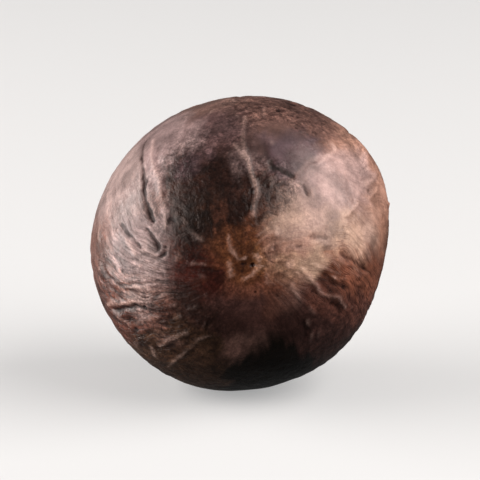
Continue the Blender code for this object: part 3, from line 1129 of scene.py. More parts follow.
@dataclass(frozen=True)
class Area:
    """A part of the shell inside an outline of straight runs, with its own colour."""

    outline: tuple[Place, ...]
    shade: Shade
    soft: float

    def mask(self, egg: Egg, points: np.ndarray) -> np.ndarray:
        """Tells how far each point is inside the outline, seen from straight above its middle.

        Args:
            egg: The egg that it lies on.
            points: Points of the egg, shifted a little where the edge is to be uneven.

        Returns:
            1 inside, 0 outside, and an S curve across the edge.
        """
        corners = np.array([egg.at(place) for place in self.outline])
        outward = corners.mean(axis=0) / np.linalg.norm(corners.mean(axis=0))
        side = np.cross((0.0, 0.0, 1.0), outward)
        side /= np.linalg.norm(side)
        axes = np.stack([side, np.cross(outward, side)], axis=1)
        spots, flat = points @ axes, corners @ axes
        gaps = np.full(len(points), np.inf)
        inside = np.zeros(len(points), bool)
        for first, second in zip(flat, np.roll(flat, -1, axis=0)):
            run = second - first
            along = np.clip((spots - first) @ run / (run @ run), 0.0, 1.0)
            gaps = np.minimum(gaps, np.linalg.norm(spots - first - along[:, None] * run, axis=1))
            crossed = (first[1] > spots[:, 1]) != (second[1] > spots[:, 1])
            rise = run[1] if run[1] else 1.0
            inside ^= crossed & (spots[:, 0] < first[0] + (spots[:, 1] - first[1]) * run[0] / rise)
        gaps = np.where(inside, -gaps, gaps)
        return (1 - smooth_step(gaps, -self.soft, self.soft)) * (points @ outward > 0)


def outlined(shade: Shade, *corners: tuple[float, float] | float, soft: float) -> Area:
    """Writes an area in short.

    Args:
        shade: Its colour.
        corners: Where its outline turns, as Photo.corner takes them.
        soft: How far its edge fades, in millimetres.

    Returns:
        The area, in metres.
    """
    return Area(tuple(PHOTO.corner(spot) for spot in corners), shade, soft * MM)


@dataclass(frozen=True)
class ShellPaint:
    """The slow changes of colour over the shell, with painted highlights and painted shade among them."""

    ground: Shade = Shade.COCOA
    edge_waver: float = 1.5 * MM
    edge_length: float = 2.6 * MM
    spoke_cells: tuple[float, float, float] = (5.0, 5.0, 6.0)
    spoke_pale: Shade = Shade.BRICK
    spoke_dark: Shade = Shade.UMBER
    spoke_strength: float = 0.30
    spoke_start: tuple[float, float] = (4.0, 9.0)
    spoke_end: tuple[float, float] = (16.0, 30.0)
    spoke_sides: tuple[float, float] = (-4.0 * MM, 1.0 * MM)
    spoke_gap: float = 0.08
    spoke_edge: float = 0.35
    area_shift: float = 0.35 * MM
    area_length: float = 1.3 * MM
    area_hold: float = 2.5
    calm_ring: float = 3.0 * MM
    streak_shift: float = 0.75 * MM
    streak_cells: tuple[float, float, float] = (13.0, 13.0, 2.6)
    finger_shift: float = 0.9 * MM
    finger_cells: tuple[float, float, float] = (15.0, 15.0, 2.0)
    finger_spot: float = 3.0
    finger_reach: tuple[float, float] = (math.radians(8), math.radians(48))
    far_fingers: float = 3.0
    far_reach: tuple[float, float] = (math.radians(74), math.radians(100))
    far_washes: tuple[Wash, ...] = (
        wash(92, 95, 13.0, Shade.PLUM, 0.8),
        wash(80, -90, 11.0, Shade.SOOT, 0.8),
        wash(172, 0, 6.0, Shade.BRICK, 0.6),
        wash(120, 20, 8.0, Shade.CHESTNUT, 0.6),
        wash(115, 200, 8.0, Shade.BARK, 0.6),
        wash(125, -60, 7.0, Shade.OCHRE, 0.6),
    )
    areas: tuple[Area, ...] = (
        # The left areas from left upper to left red: partly own colour, partly a painted highlight.
        # left upper rim
        outlined(Shade.DUSTY_ROSE, 133, (235, 330), (190, 450), (165, 605), (100, 610), 171, 152, soft=1.8),
        # left upper
        outlined(
            Shade.DUSTY_ROSE, 133, (300, 400), (325, 540), (210, 600), (165, 605), (190, 450), (235, 330),
            soft=0.7,
        ),
        # left middle rim
        outlined(
            Shade.MAUVE, 171, (100, 610), (165, 605), (150, 730), (160, 855), (80, 850), 193, soft=1.8,
        ),
        # left middle
        outlined(
            Shade.ASH, (165, 605), (210, 600), (325, 540), (350, 600), (400, 690), (385, 800), (370, 880),
            (200, 860), (160, 855), (150, 730), soft=0.9,
        ),
        # left ridge
        outlined(
            Shade.ASH, 133, (345, 240), (360, 400), (395, 540), (410, 640), (400, 690), (350, 600),
            (325, 540), (300, 400), soft=0.6,
        ),
        # left tan rim
        outlined(Shade.RUSSET, 193, (80, 850), (180, 858), (200, 965), (110, 970), 204, soft=1.6),
        # left tan
        outlined(Shade.FAWN, (180, 858), (370, 880), (395, 940), (300, 960), (200, 965), soft=0.9),
        # left red rim
        outlined(Shade.RUSSET, 204, (110, 970), (200, 965), (240, 1030), (280, 1090), 219, soft=1.6),
        # left red
        outlined(
            Shade.CHESTNUT, (200, 965), (300, 960), (395, 940), (430, 1010), (380, 1060), (280, 1090),
            (240, 1030), soft=0.9,
        ),
        # left low
        outlined(
            Shade.BARK, 219, (280, 1090), (380, 1060), (430, 1010), (500, 1080), (400, 1130), (330, 1250),
            233, soft=0.7,
        ),
        # low net
        outlined(
            Shade.BARK, (330, 1250), (400, 1130), (500, 1080), (600, 1110), (520, 1190), (440, 1290), 233,
            soft=0.7,
        ),
        # low inner
        outlined(
            Shade.UMBER, (370, 880), (450, 890), (560, 930), (600, 1100), (500, 1080), (430, 1010),
            (395, 940), soft=1,
        ),
        # upper grey, partly a painted highlight
        outlined(Shade.ASH, 133, 116, (520, 160), (540, 280), (420, 330), (360, 400), (345, 240), soft=1.2),
        # top rim
        outlined(Shade.FAWN, 116, 92, (690, 125), (510, 150), soft=1.8),
        # top grey
        outlined(
            Shade.DUSK, (510, 150), (690, 125), (700, 180), (690, 300), (560, 320), (540, 280), (520, 160),
            soft=1.3,
        ),
        # dark edge
        outlined(
            Shade.UMBER, (360, 400), (420, 330), (490, 430), (470, 560), (420, 660), (410, 640), (395, 540),
            soft=1.2,
        ),
        # dark core
        outlined(
            Shade.UMBER, (420, 330), (560, 320), (690, 300), (740, 400), (770, 490), (760, 610), (640, 650),
            (560, 740), (450, 740), (400, 690), (420, 660), (470, 560), (490, 430), soft=1.5,
        ),
        # seam side
        outlined(
            Shade.UMBER, (780, 410), (850, 430), (890, 480), (870, 560), (820, 640), (775, 630), (785, 500),
            soft=1.2,
        ),
        # seam upper
        outlined(
            Shade.PLUM, (700, 180), (745, 190), (800, 250), (850, 360), (850, 430), (780, 410), (735, 330),
            (690, 300), soft=0.7,
        ),
        # smooth grey, partly a painted highlight
        outlined(
            Shade.SLATE, (800, 250), (1000, 240), (1080, 300), (1000, 380), (960, 440), (850, 400),
            (850, 360), soft=1,
        ),
        # top right
        outlined(
            Shade.MAUVE, 92, 60, (1120, 210), (1080, 300), (1000, 240), (800, 250), (745, 190), (700, 180),
            soft=1.5,
        ),
        # pink facet, partly a painted highlight
        outlined(
            Shade.BLUSH, (1000, 380), (1080, 300), (1210, 320), (1270, 430), (1240, 540), (1150, 590),
            (1020, 520), (960, 440), soft=1,
        ),
        # upper rim
        outlined(
            Shade.CLAY, 60, 12, (1290, 590), (1240, 540), (1270, 430), (1210, 320), (1080, 300),
            (1120, 210), soft=1.6,
        ),
        # cream, partly a painted highlight
        outlined(
            Shade.CREAM, (850, 640), (870, 560), (890, 480), (960, 440), (1020, 520), (1150, 590),
            (1240, 540), (1290, 590), (1300, 740), (1200, 740), (1000, 690), (870, 690), soft=1.3,
        ),
        # cream rim
        outlined(Shade.TAN, 12, -4, (1300, 740), (1290, 590), soft=1.8),
        # scar side
        outlined(
            Shade.CLAY, (870, 690), (1000, 690), (1040, 770), (1010, 860), (940, 900), (860, 870),
            (810, 800), (810, 720), soft=0.9,
        ),
        # red ribs
        outlined(
            Shade.BRICK, (1040, 770), (1200, 740), (1300, 740), -4, -22, (1240, 940), (1130, 920),
            (1010, 860), soft=0.9,
        ),
        # red low
        outlined(
            Shade.RUSSET, (1010, 860), (1130, 920), (1240, 940), -22, -36, (1150, 1050), (1050, 980),
            (940, 900), soft=0.7,
        ),
        # low right
        outlined(
            Shade.COCOA, (940, 900), (1050, 980), (1150, 1050), -36, -58, (960, 1180), (900, 1100),
            (900, 940), soft=0.7,
        ),
        # violet
        outlined(
            Shade.COCOA, (560, 940), (650, 930), (840, 930), (900, 940), (900, 1100), (700, 1090),
            (600, 1100), soft=0.9,
        ),
        # low patch
        outlined(
            Shade.MAUVE, (640, 1160), (700, 1120), (800, 1095), (820, 1140), (720, 1220), (650, 1230),
            soft=1.3,
        ),
        # low dark, a painted shade along the bottom
        outlined(
            Shade.SOOT, -58, -96, (650, 1230), (720, 1220), (820, 1140), (900, 1100), (960, 1180), soft=1.2,
        ),
        # low edge
        outlined(
            Shade.BARK, 233, (440, 1290), (520, 1190), (600, 1110), (640, 1160), (650, 1230), -96, soft=0.7,
        ),
        # scar
        outlined(
            Shade.OCHRE, (650, 770), (700, 750), (770, 755), (800, 800), (790, 870), (720, 890), (655, 870),
            soft=0.45,
        ),
        # scar upper
        outlined(
            Shade.OCHRE, (560, 740), (640, 650), (760, 620), (820, 640), (870, 690), (810, 720), (800, 780),
            (760, 750), (700, 750), (650, 780), (600, 800), soft=1.2,
        ),
        # scar left
        outlined(
            Shade.OXBLOOD, (400, 690), (450, 740), (560, 740), (600, 800), (650, 880), (650, 930),
            (560, 940), (450, 890), (370, 880), (385, 800), soft=1.2,
        ),
        # scar under
        outlined(
            Shade.BRICK, (650, 880), (720, 890), (800, 880), (860, 870), (940, 900), (900, 940), (840, 930),
            (650, 930), soft=0.9,
        ),
    )
    near_washes: tuple[Wash, ...] = (
        # The ivory washes here and below are partly the shell's pale colour and partly a painted highlight.
        wash(18, 0, 1.1, Shade.IVORY, 0.55),
        wash(8, -8, 0.9, Shade.AMBER, 0.35, 0.6),
        wash(16, -9, 1.5, Shade.AMBER, 0.4, 0.8),
        wash(53, 54, 2.0, Shade.ASH, 0.25, 0.7),
        wash(50, 59, 1.8, Shade.PLUM, 0.4, 0.7),
        wash(38, 50, 1.3, Shade.SLATE, 0.45, 0.7),
        wash(46, 10, 2.2, Shade.IVORY, 0.5, 0.6),
        # A painted shade under the edge of the pink facet.
        wash(56, 18, 1.3, Shade.MAUVE, 0.5, 0.7),
        wash(43, 0, 1.2, Shade.BRICK, 0.65, 0.6),
        wash(30, 5, 1.6, Shade.IVORY, 0.9, 0.6),
        wash(36, 34, 1.8, Shade.BLUSH, 0.3, 0.6),
        wash(25, 46, 1.4, Shade.IVORY, 0.4, 0.7),
        wash(28, 60, 1.4, Shade.PLUM, 0.6, 0.8),
        wash(25, 67, 1.1, Shade.UMBER, 0.75, 0.7),
        wash(40, 85, 1.1, Shade.ASH, 0.35, 0.8),
        wash(44, 117, 1.2, Shade.SLATE, 0.5, 0.8),
        wash(24, 128, 2.2, Shade.SOOT, 0.7, 0.8),
        wash(22, -32, 1.5, Shade.FAWN, 0.4, 0.8),
        wash(19, -46, 1.3, Shade.BRICK, 0.35, 0.8),
        wash(12, -81, 0.9, Shade.OXBLOOD, 0.4, 0.7),
        wash(44, -158, 1.4, Shade.DUSTY_ROSE, 0.5, 0.8),
        wash(35, 180, 1.6, Shade.DUSTY_ROSE, 0.4, 0.8),
        wash(41, 146, 1.0, Shade.MAUVE, 0.75, 0.7),
        wash(44, -132, 1.3, Shade.FAWN, 0.4, 0.8),
    )

    def shifted(self, points: np.ndarray, flow: np.ndarray) -> np.ndarray:
        """Shifts points so that the areas' edges waver, and run out in streaks along the flow.

        Args:
            points: Points of the plain egg.
            flow: Cosine and sine of each point's flow angle, and its theta in radians.

        Returns:
            The shifted points.
        """
        around = np.stack([-points[:, 2], np.zeros(len(points)), points[:, 0]], axis=1)
        around /= np.maximum(np.linalg.norm(around, axis=1, keepdims=True), self.calm_ring)
        outward = points / np.linalg.norm(points, axis=1, keepdims=True)
        along = np.cross(outward, around)
        streaks = ripple(flow * self.streak_cells, 2)[:, None]
        fingers = ripple(flow * self.finger_cells + self.finger_spot, 2)[:, None]
        fingers *= smooth_step(flow[:, 2:], *self.finger_reach)
        fingers *= 1 + self.far_fingers * smooth_step(flow[:, 2:], *self.far_reach)
        shift = self.streak_shift * streaks * around + self.finger_shift * fingers * along
        return points + shift + self.area_shift * drift(points / self.area_length)

    def washed(self, egg: Egg, points: np.ndarray, waver: np.ndarray, colours: np.ndarray,
               washes: Sequence[Wash]) -> np.ndarray:
        """Lays washes over the colours in turn.

        Args:
            egg: The egg that they lie on.
            points: Points of the plain egg.
            waver: What makes their edges uneven.
            colours: Red, green and blue of each point so far.
            washes: The washes, the lowest first.

        Returns:
            The colours with the washes on them.
        """
        for layer in washes:
            share = (layer.strength * layer.patch.mask(egg, points, waver, layer.soft))[:, None]
            colours = colours * (1 - share) + linear(layer.shade.value) * share
        return colours

    def tints(self, egg: Egg, points: np.ndarray, flow: np.ndarray) -> np.ndarray:
        """Lays the washes over the ground colour in turn, then the spokes round the scar.

        Args:
            egg: The egg that they lie on.
            points: Points of the plain egg.
            flow: Cosine and sine of each point's flow angle, and its theta in radians.

        Returns:
            Red, green, blue and 1 for each point.
        """
        waver = self.edge_waver * ripple(points / self.edge_length, 3)
        colours = np.tile(linear(self.ground.value), (len(points), 1))
        colours = self.washed(egg, points, waver, colours, self.far_washes)
        shifted = self.shifted(points, flow)
        total = np.zeros(len(points))
        mixed = np.zeros((len(points), 3))
        for part in self.areas:
            share = part.mask(egg, shifted)
            total += share
            mixed += share[:, None] * linear(part.shade.value)
        rest = np.clip(1 - self.area_hold * total, 0.0, None)
        colours = (mixed + rest[:, None] * colours) / (total + rest)[:, None]
        colours = self.washed(egg, points, waver, colours, self.near_washes)
        spokes = ripple(flow * self.spoke_cells, 2)
        theta = np.degrees(flow[:, 2])
        reach = smooth_step(theta, *self.spoke_start) * (1 - smooth_step(theta, *self.spoke_end))
        reach *= smooth_step(points[:, 2], *self.spoke_sides)
        for shade, side in ((self.spoke_pale, spokes), (self.spoke_dark, -spokes)):
            share = smooth_step(side - self.spoke_gap, 0.0, self.spoke_edge)
            share = (self.spoke_strength * reach * share)[:, None]
            colours = colours * (1 - share) + linear(shade.value) * share
        return np.concatenate([colours, np.ones((len(points), 1))], axis=1)


@dataclass(frozen=True)
class Weave:
    """How fine a noise is: its cells for each unit, the finer layers on it and their strength."""

    scale: float
    detail: float
    roughness: float


class Graph:
    """Adds nodes to one material and joins them."""

    def __init__(self, material: bpy.types.Material) -> None:
        """Starts with an empty node tree.

        Args:
            material: The material to fill.
        """
        material.use_nodes = True
        self.tree = material.node_tree
        self.tree.nodes.clear()

    def add(self, kind: str, inputs: dict | None = None, **settings: object) -> bpy.types.Node:
        """Makes a node.

        Args:
            kind: Its type without the leading ShaderNode.
            inputs: Values or outputs of other nodes, by socket name or number.
            settings: Properties of the node.

        Returns:
            The node.
        """
        node = self.tree.nodes.new("ShaderNode" + kind)
        for name, value in settings.items():
            setattr(node, name, value)
        for socket, value in (inputs or {}).items():
            if isinstance(value, bpy.types.NodeSocket):
                self.tree.links.new(value, node.inputs[socket])
            else:
                node.inputs[socket].default_value = value
        return node

    def read(self, attribute: Attribute, output: str = "Fac") -> bpy.types.NodeSocket:
        """Reads one of the mesh's attributes."""
        return self.add("Attribute", attribute_name=attribute.value).outputs[output]

    def maths(self, operation: str, first: object, second: object = 0.0) -> bpy.types.NodeSocket:
        """Works out one sum of two numbers."""
        return self.add("Math", {0: first, 1: second}, operation=operation).outputs[0]

    def times(self, first: object, second: object) -> bpy.types.NodeSocket:
        """Multiplies two numbers."""
        return self.maths("MULTIPLY", first, second)

    def plus(self, first: object, second: object) -> bpy.types.NodeSocket:
        """Adds two numbers."""
        return self.maths("ADD", first, second)

    def limits(self, value: bpy.types.NodeSocket, low: float, high: float, bottom: float = 0.0,
               top: float = 1.0) -> bpy.types.NodeSocket:
        """Turns a range of a value into another, with soft ends.

        Args:
            value: What is read.
            low: The value that gives the bottom.
            high: The value that gives the top.
            bottom: Least result.
            top: Greatest result.

        Returns:
            The result's socket.
        """
        inputs = {"Value": value, "From Min": low, "From Max": high, "To Min": bottom, "To Max": top}
        return self.add("MapRange", inputs, interpolation_type="SMOOTHSTEP").outputs["Result"]

    def layer(self, share: object, under: object, over: object,
              blend: Blend = Blend.MIX) -> bpy.types.NodeSocket:
        """Lays one colour over another.

        Args:
            share: How much of the upper colour shows.
            under: The lower colour.
            over: The upper colour.
            blend: How they mix.

        Returns:
            The mixed colour's socket.
        """
        node = self.add("Mix", {0: share, 6: under, 7: over}, data_type="RGBA", blend_type=blend.value)
        return node.outputs[2]

    def scaled(self, vector: bpy.types.NodeSocket, scale: Sequence[float]) -> bpy.types.NodeSocket:
        """Stretches a coordinate along its three axes."""
        return self.add("VectorMath", {0: vector, 1: tuple(scale)}, operation="MULTIPLY").outputs[0]

    def noise(self, vector: bpy.types.NodeSocket, weave: Weave) -> bpy.types.NodeSocket:
        """Reads a soft noise from 0 to 1.

        Args:
            vector: Where it is read.
            weave: How fine it is.

        Returns:
            The noise's socket.
        """
        inputs = {"Scale": weave.scale, "Detail": weave.detail, "Roughness": weave.roughness}
        return self.add("TexNoise", {"Vector": vector, **inputs}).outputs[0]


@dataclass(frozen=True)
class Patterns:
    """The sockets of one material from which the shell's colour, gloss and grain are worked out."""

    tint: bpy.types.NodeSocket
    cut: bpy.types.NodeSocket
    tone: bpy.types.NodeSocket
    leather: bpy.types.NodeSocket
    streak: bpy.types.NodeSocket
    broad: bpy.types.NodeSocket
    blotch: bpy.types.NodeSocket
    grain: bpy.types.NodeSocket
    fibres: bpy.types.NodeSocket
    thin: bpy.types.NodeSocket
    net: bpy.types.NodeSocket
    crack: bpy.types.NodeSocket


@dataclass(frozen=True)
class ShellFinish:
    """The dark, satin shell: blotches, a leathery net, streaks along its flow and fine cracks.

    Its hollows carry painted shade, and its ridges a paler colour that is partly a painted highlight.
    Each range gives the value of a noise where a mark starts and the value where it is full.
    """

    name: str = "nutmeg_shell"
    drift_scale: float = 900.0
    drift_detail: float = 2.0
    drift_reach: float = 0.8 * MM
    broad: Weave = Weave(330.0, 3.0, 0.55)
    broad_range: tuple[float, float] = (0.34, 0.66)
    broad_low: str = "d0d0d0"
    broad_high: float = 1.18
    blotch: Weave = Weave(1500.0, 4.0, 0.62)
    grain: Weave = Weave(4600.0, 3.0, 0.6)
    fibre: Weave = Weave(1.0, 2.5, 0.5)
    fibre_cells: tuple[float, float, float] = (19.0, 19.0, 5.0)
    thread: Weave = Weave(1.0, 1.5, 0.5)
    thread_cells: tuple[float, float, float] = (31.0, 31.0, 6.0)
    # Pale lines are partly their own colour and partly a painted highlight; dark cracks partly painted
    # shade.
    pale_line_and_highlight: str = "a98d83"
    line_gain: tuple[float, float, float] = (2.0, 2.0, 2.0)
    line_share: float = 0.55
    line_most: float = 0.92
    line_blotch: float = 0.9
    line_grain: float = 0.4
    line_floor: float = 0.38
    crack_dark: tuple[float, float, float] = (0.17, 0.11, 0.115)
    crack_blotch: float = 0.6
    crack_floor: float = 0.75
    streak_pale: tuple[float, float, float] = (1.5, 1.46, 1.42)
    streak_pale_range: tuple[float, float] = (0.53, 0.66)
    streak_dark: tuple[float, float, float] = (0.42, 0.37, 0.36)
    streak_dark_range: tuple[float, float] = (0.48, 0.36)
    thin_dark: tuple[float, float, float] = (0.38, 0.32, 0.32)
    thin_range: tuple[float, float] = (0.045, 0.005)
    spot_dark: tuple[float, float, float] = (0.42, 0.36, 0.36)
    spot_dark_range: tuple[float, float] = (0.51, 0.59)
    spot_pale: tuple[float, float, float] = (1.7, 1.7, 1.65)
    spot_pale_range: tuple[float, float] = (0.47, 0.39)
    net_dark: tuple[float, float, float] = (0.80, 0.76, 0.76)
    net_scale: float = 1750.0
    net_range: tuple[float, float] = (0.22, 0.0)
    # Sunk parts get painted shade; risen ones get paler, partly own colour, partly painted highlight.
    sunk_painted_shade: tuple[float, float, float] = (0.40, 0.32, 0.30)
    sunk_range: tuple[float, float] = (0.15, 1.2)
    risen_pale_and_highlight: tuple[float, float, float] = (1.38, 1.36, 1.32)
    risen_range: tuple[float, float] = (0.25, 1.3)
    speck_range: tuple[float, float] = (0.30, 0.70)
    speck_low: str = "c4c4c4"
    speck_high: float = 1.25
    flecked_range: tuple[float, float] = (0.1, 0.7)
    flecked_least: float = 0.25
    roughness: float = 0.27
    rough_range: tuple[float, float] = (0.3, 0.7)
    rough_less: float = 0.07
    rough_more: float = 0.10
    thin_rough: float = 0.15
    crack_rough: float = 0.25
    gloss_tint: tuple[float, float, float] = (1.0, 0.82, 0.76)
    gloss: float = 1.265
    coat: float = 0.05
    coat_roughness: float = 0.24
    grain_depth: float = 0.06 * MM
    fibre_bump: float = 0.7
    thin_bump: float = -0.4
    net_bump: float = -0.16
    blotch_bump: tuple[float, float] = (1.5, 0.3)
    grain_bump: tuple[float, float] = (0.26, 0.06)

    def colour(self, code: str) -> tuple[float, float, float, float]:
        """A colour as the sockets want it."""
        return (*linear(code), 1.0)

    def tinged(self, graph: Graph, share: object, under: object,
               gain: tuple[float, float, float]) -> bpy.types.NodeSocket:
        """Multiplies a colour by a gain where the share is 1, and less where it is less."""
        return graph.layer(share, under, graph.layer(1.0, under, (*gain, 1.0), Blend.MULTIPLY))

    def shaded(self, graph: Graph, under: object, share: object, low: str,
               high: float) -> bpy.types.NodeSocket:
        """Multiplies a colour by a grey that goes from low to high with the share."""
        grey = graph.layer(share, self.colour(low), (high, high, high, 1.0))
        return graph.layer(1.0, under, grey, Blend.MULTIPLY)

    def squared(self, graph: Graph, tone: bpy.types.NodeSocket) -> bpy.types.NodeSocket:
        """Turns a tone above 0 into a share, so that weak lines stay faint."""
        share = graph.maths("MAXIMUM", tone, 0.0)
        return graph.maths("MINIMUM", graph.times(share, share), self.line_most)

    def scaled_by(self, graph: Graph, value: object, line: tuple[float, float]) -> bpy.types.NodeSocket:
        """Gives a strength that rises in a straight line with a value: its slope and its start."""
        slope, start = line
        return graph.plus(graph.times(value, slope), start)

    def drifted(self, graph: Graph, place: bpy.types.NodeSocket) -> bpy.types.NodeSocket:
        """Shifts a coordinate a little by noise, so that the patterns on it look less even.

        Args:
            graph: The material's nodes.
            place: The coordinate.

        Returns:
            The shifted coordinate.
        """
        inputs = {"Vector": place, "Scale": self.drift_scale, "Detail": self.drift_detail}
        cloud = graph.add("TexNoise", inputs).outputs["Color"]
        centred = graph.add("VectorMath", {0: cloud, 1: (0.5, 0.5, 0.5)}, operation="SUBTRACT").outputs[0]
        inputs = {0: centred, 1: (self.drift_reach,) * 3, 2: place}
        return graph.add("VectorMath", inputs, operation="MULTIPLY_ADD").outputs[0]

    def patterns(self, graph: Graph) -> Patterns:
        """Reads the mesh's attributes and makes the noises.

        Args:
            graph: The material's nodes.

        Returns:
            The sockets that the rest of the finish reads.
        """
        place = graph.add("TexCoord").outputs["Object"]
        drifted = self.drifted(graph, place)
        flow = graph.read(Attribute.FLOW, "Vector")
        tone = graph.read(Attribute.TONE)
        leather = graph.read(Attribute.LEATHER)
        streak = graph.read(Attribute.STREAK)
        blotch = graph.noise(drifted, self.blotch)
        threads = graph.noise(graph.scaled(flow, self.thread_cells), self.thread)
        threads = graph.maths("ABSOLUTE", graph.maths("SUBTRACT", threads, 0.5))
        inputs = {"Vector": drifted, "Scale": self.net_scale, "Randomness": 1.0}
        cells = graph.add("TexVoronoi", inputs, feature="DISTANCE_TO_EDGE").outputs["Distance"]
        steady = self.scaled_by(graph, blotch, (self.crack_blotch, self.crack_floor))
        return Patterns(
            tint=graph.read(Attribute.TINT, "Color"),
            cut=graph.read(Attribute.CUT),
            tone=tone,
            leather=leather,
            streak=streak,
            broad=graph.noise(place, self.broad),
            blotch=blotch,
            grain=graph.noise(place, self.grain),
            fibres=graph.noise(graph.scaled(flow, self.fibre_cells), self.fibre),
            thin=graph.times(graph.limits(threads, *self.thin_range), streak),
            net=graph.times(graph.limits(cells, *self.net_range), leather),
            crack=self.squared(graph, graph.times(graph.times(tone, -1.0), steady)),
        )

    def marked(self, graph: Graph, seen: Patterns) -> bpy.types.NodeSocket:
        """Lays blotches, streaks, spots, net, painted shade and a partly painted highlight on the tint.

        Args:
            graph: The material's nodes.
            seen: What it reads.

        Returns:
            The colour with its marks.
        """
        shade = graph.limits(seen.broad, *self.broad_range)
        colour = self.shaded(graph, seen.tint, shade, self.broad_low, self.broad_high)
        marks = (
            (graph.times(graph.limits(seen.fibres, *self.streak_pale_range), seen.streak), self.streak_pale),
            (graph.times(graph.limits(seen.fibres, *self.streak_dark_range), seen.streak), self.streak_dark),
            (seen.thin, self.thin_dark),
            (graph.times(graph.limits(seen.blotch, *self.spot_dark_range), seen.leather), self.spot_dark),
            (graph.times(graph.limits(seen.blotch, *self.spot_pale_range), seen.leather), self.spot_pale),
            (seen.net, self.net_dark),
            # Painted shade in the hollows, and a partly painted highlight on the ridges.
            (graph.limits(graph.times(seen.cut, -1.0), *self.sunk_range), self.sunk_painted_shade),
            (graph.limits(seen.cut, *self.risen_range), self.risen_pale_and_highlight),
        )
        for share, gain in marks:
            colour = self.tinged(graph, share, colour, gain)
        return colour

    def lined(self, graph: Graph, seen: Patterns, colour: bpy.types.NodeSocket) -> bpy.types.NodeSocket:
        """Adds the pale lines and dark cracks, partly painted highlight and shade, and the finest flecks.

        Args:
            graph: The material's nodes.
            seen: What it reads.
            colour: The colour so far.

        Returns:
            The finished colour.
        """
        uneven = self.scaled_by(graph, seen.blotch, (self.line_blotch, self.line_floor))
        uneven = graph.plus(uneven, graph.times(seen.grain, self.line_grain))
        # Pale lines carry a partly painted highlight, and dark cracks a partly painted shade.
        light = self.squared(graph, graph.times(seen.tone, uneven))
        lit = graph.layer(1.0, seen.tint, (*self.line_gain, 1.0), Blend.MULTIPLY)
        lit = graph.layer(self.line_share, lit, self.colour(self.pale_line_and_highlight))
        colour = self.tinged(graph, seen.crack, graph.layer(light, colour, lit), self.crack_dark)
        speck = graph.limits(seen.grain, *self.speck_range)
        flecked = self.shaded(graph, colour, speck, self.speck_low, self.speck_high)
        share = graph.limits(seen.leather, *self.flecked_range, self.flecked_least)
        return graph.layer(share, colour, flecked)

    def dulled(self, graph: Graph, seen: Patterns) -> bpy.types.NodeSocket:
        """Works out how rough the shell is.

        Args:
            graph: The material's nodes.
            seen: What it reads.

        Returns:
            The roughness.
        """
        least, most = self.roughness - self.rough_less, self.roughness + self.rough_more
        rough = graph.limits(seen.blotch, *self.rough_range, least, most)
        rough = graph.plus(rough, graph.times(seen.thin, self.thin_rough))
        return graph.plus(rough, graph.times(seen.crack, self.crack_rough))

    def grained(self, graph: Graph, seen: Patterns) -> bpy.types.NodeSocket:
        """Works out the finest relief, which only turns the light.

        Args:
            graph: The material's nodes.
            seen: What it reads.

        Returns:
            The normal.
        """
        height = graph.times(seen.fibres, graph.times(seen.streak, self.fibre_bump))
        height = graph.plus(height, graph.times(seen.thin, self.thin_bump))
        height = graph.plus(height, graph.times(seen.net, self.net_bump))
        for pattern, line in ((seen.blotch, self.blotch_bump), (seen.grain, self.grain_bump)):
            height = graph.plus(height, graph.times(pattern, self.scaled_by(graph, seen.leather, line)))
        bump = graph.add("Bump", {"Height": height, "Strength": 1.0, "Distance": self.grain_depth})
        return bump.outputs["Normal"]

    def build(self) -> bpy.types.Material:
        """Makes the material's nodes.

        Returns:
            The finished material.
        """
        material = bpy.data.materials.new(self.name)
        graph = Graph(material)
        seen = self.patterns(graph)
        shader = graph.add("BsdfPrincipled", {
            "Base Color": self.lined(graph, seen, self.marked(graph, seen)),
            "Roughness": self.dulled(graph, seen),
            "Metallic": 0.0,
            "IOR": self.gloss,
            "Specular Tint": (*self.gloss_tint, 1.0),
            "Coat Weight": self.coat,
            "Coat Roughness": self.coat_roughness,
            "Normal": self.grained(graph, seen),
        })
        output = graph.add("OutputMaterial")
        graph.tree.links.new(shader.outputs["BSDF"], output.inputs["Surface"])
        return material


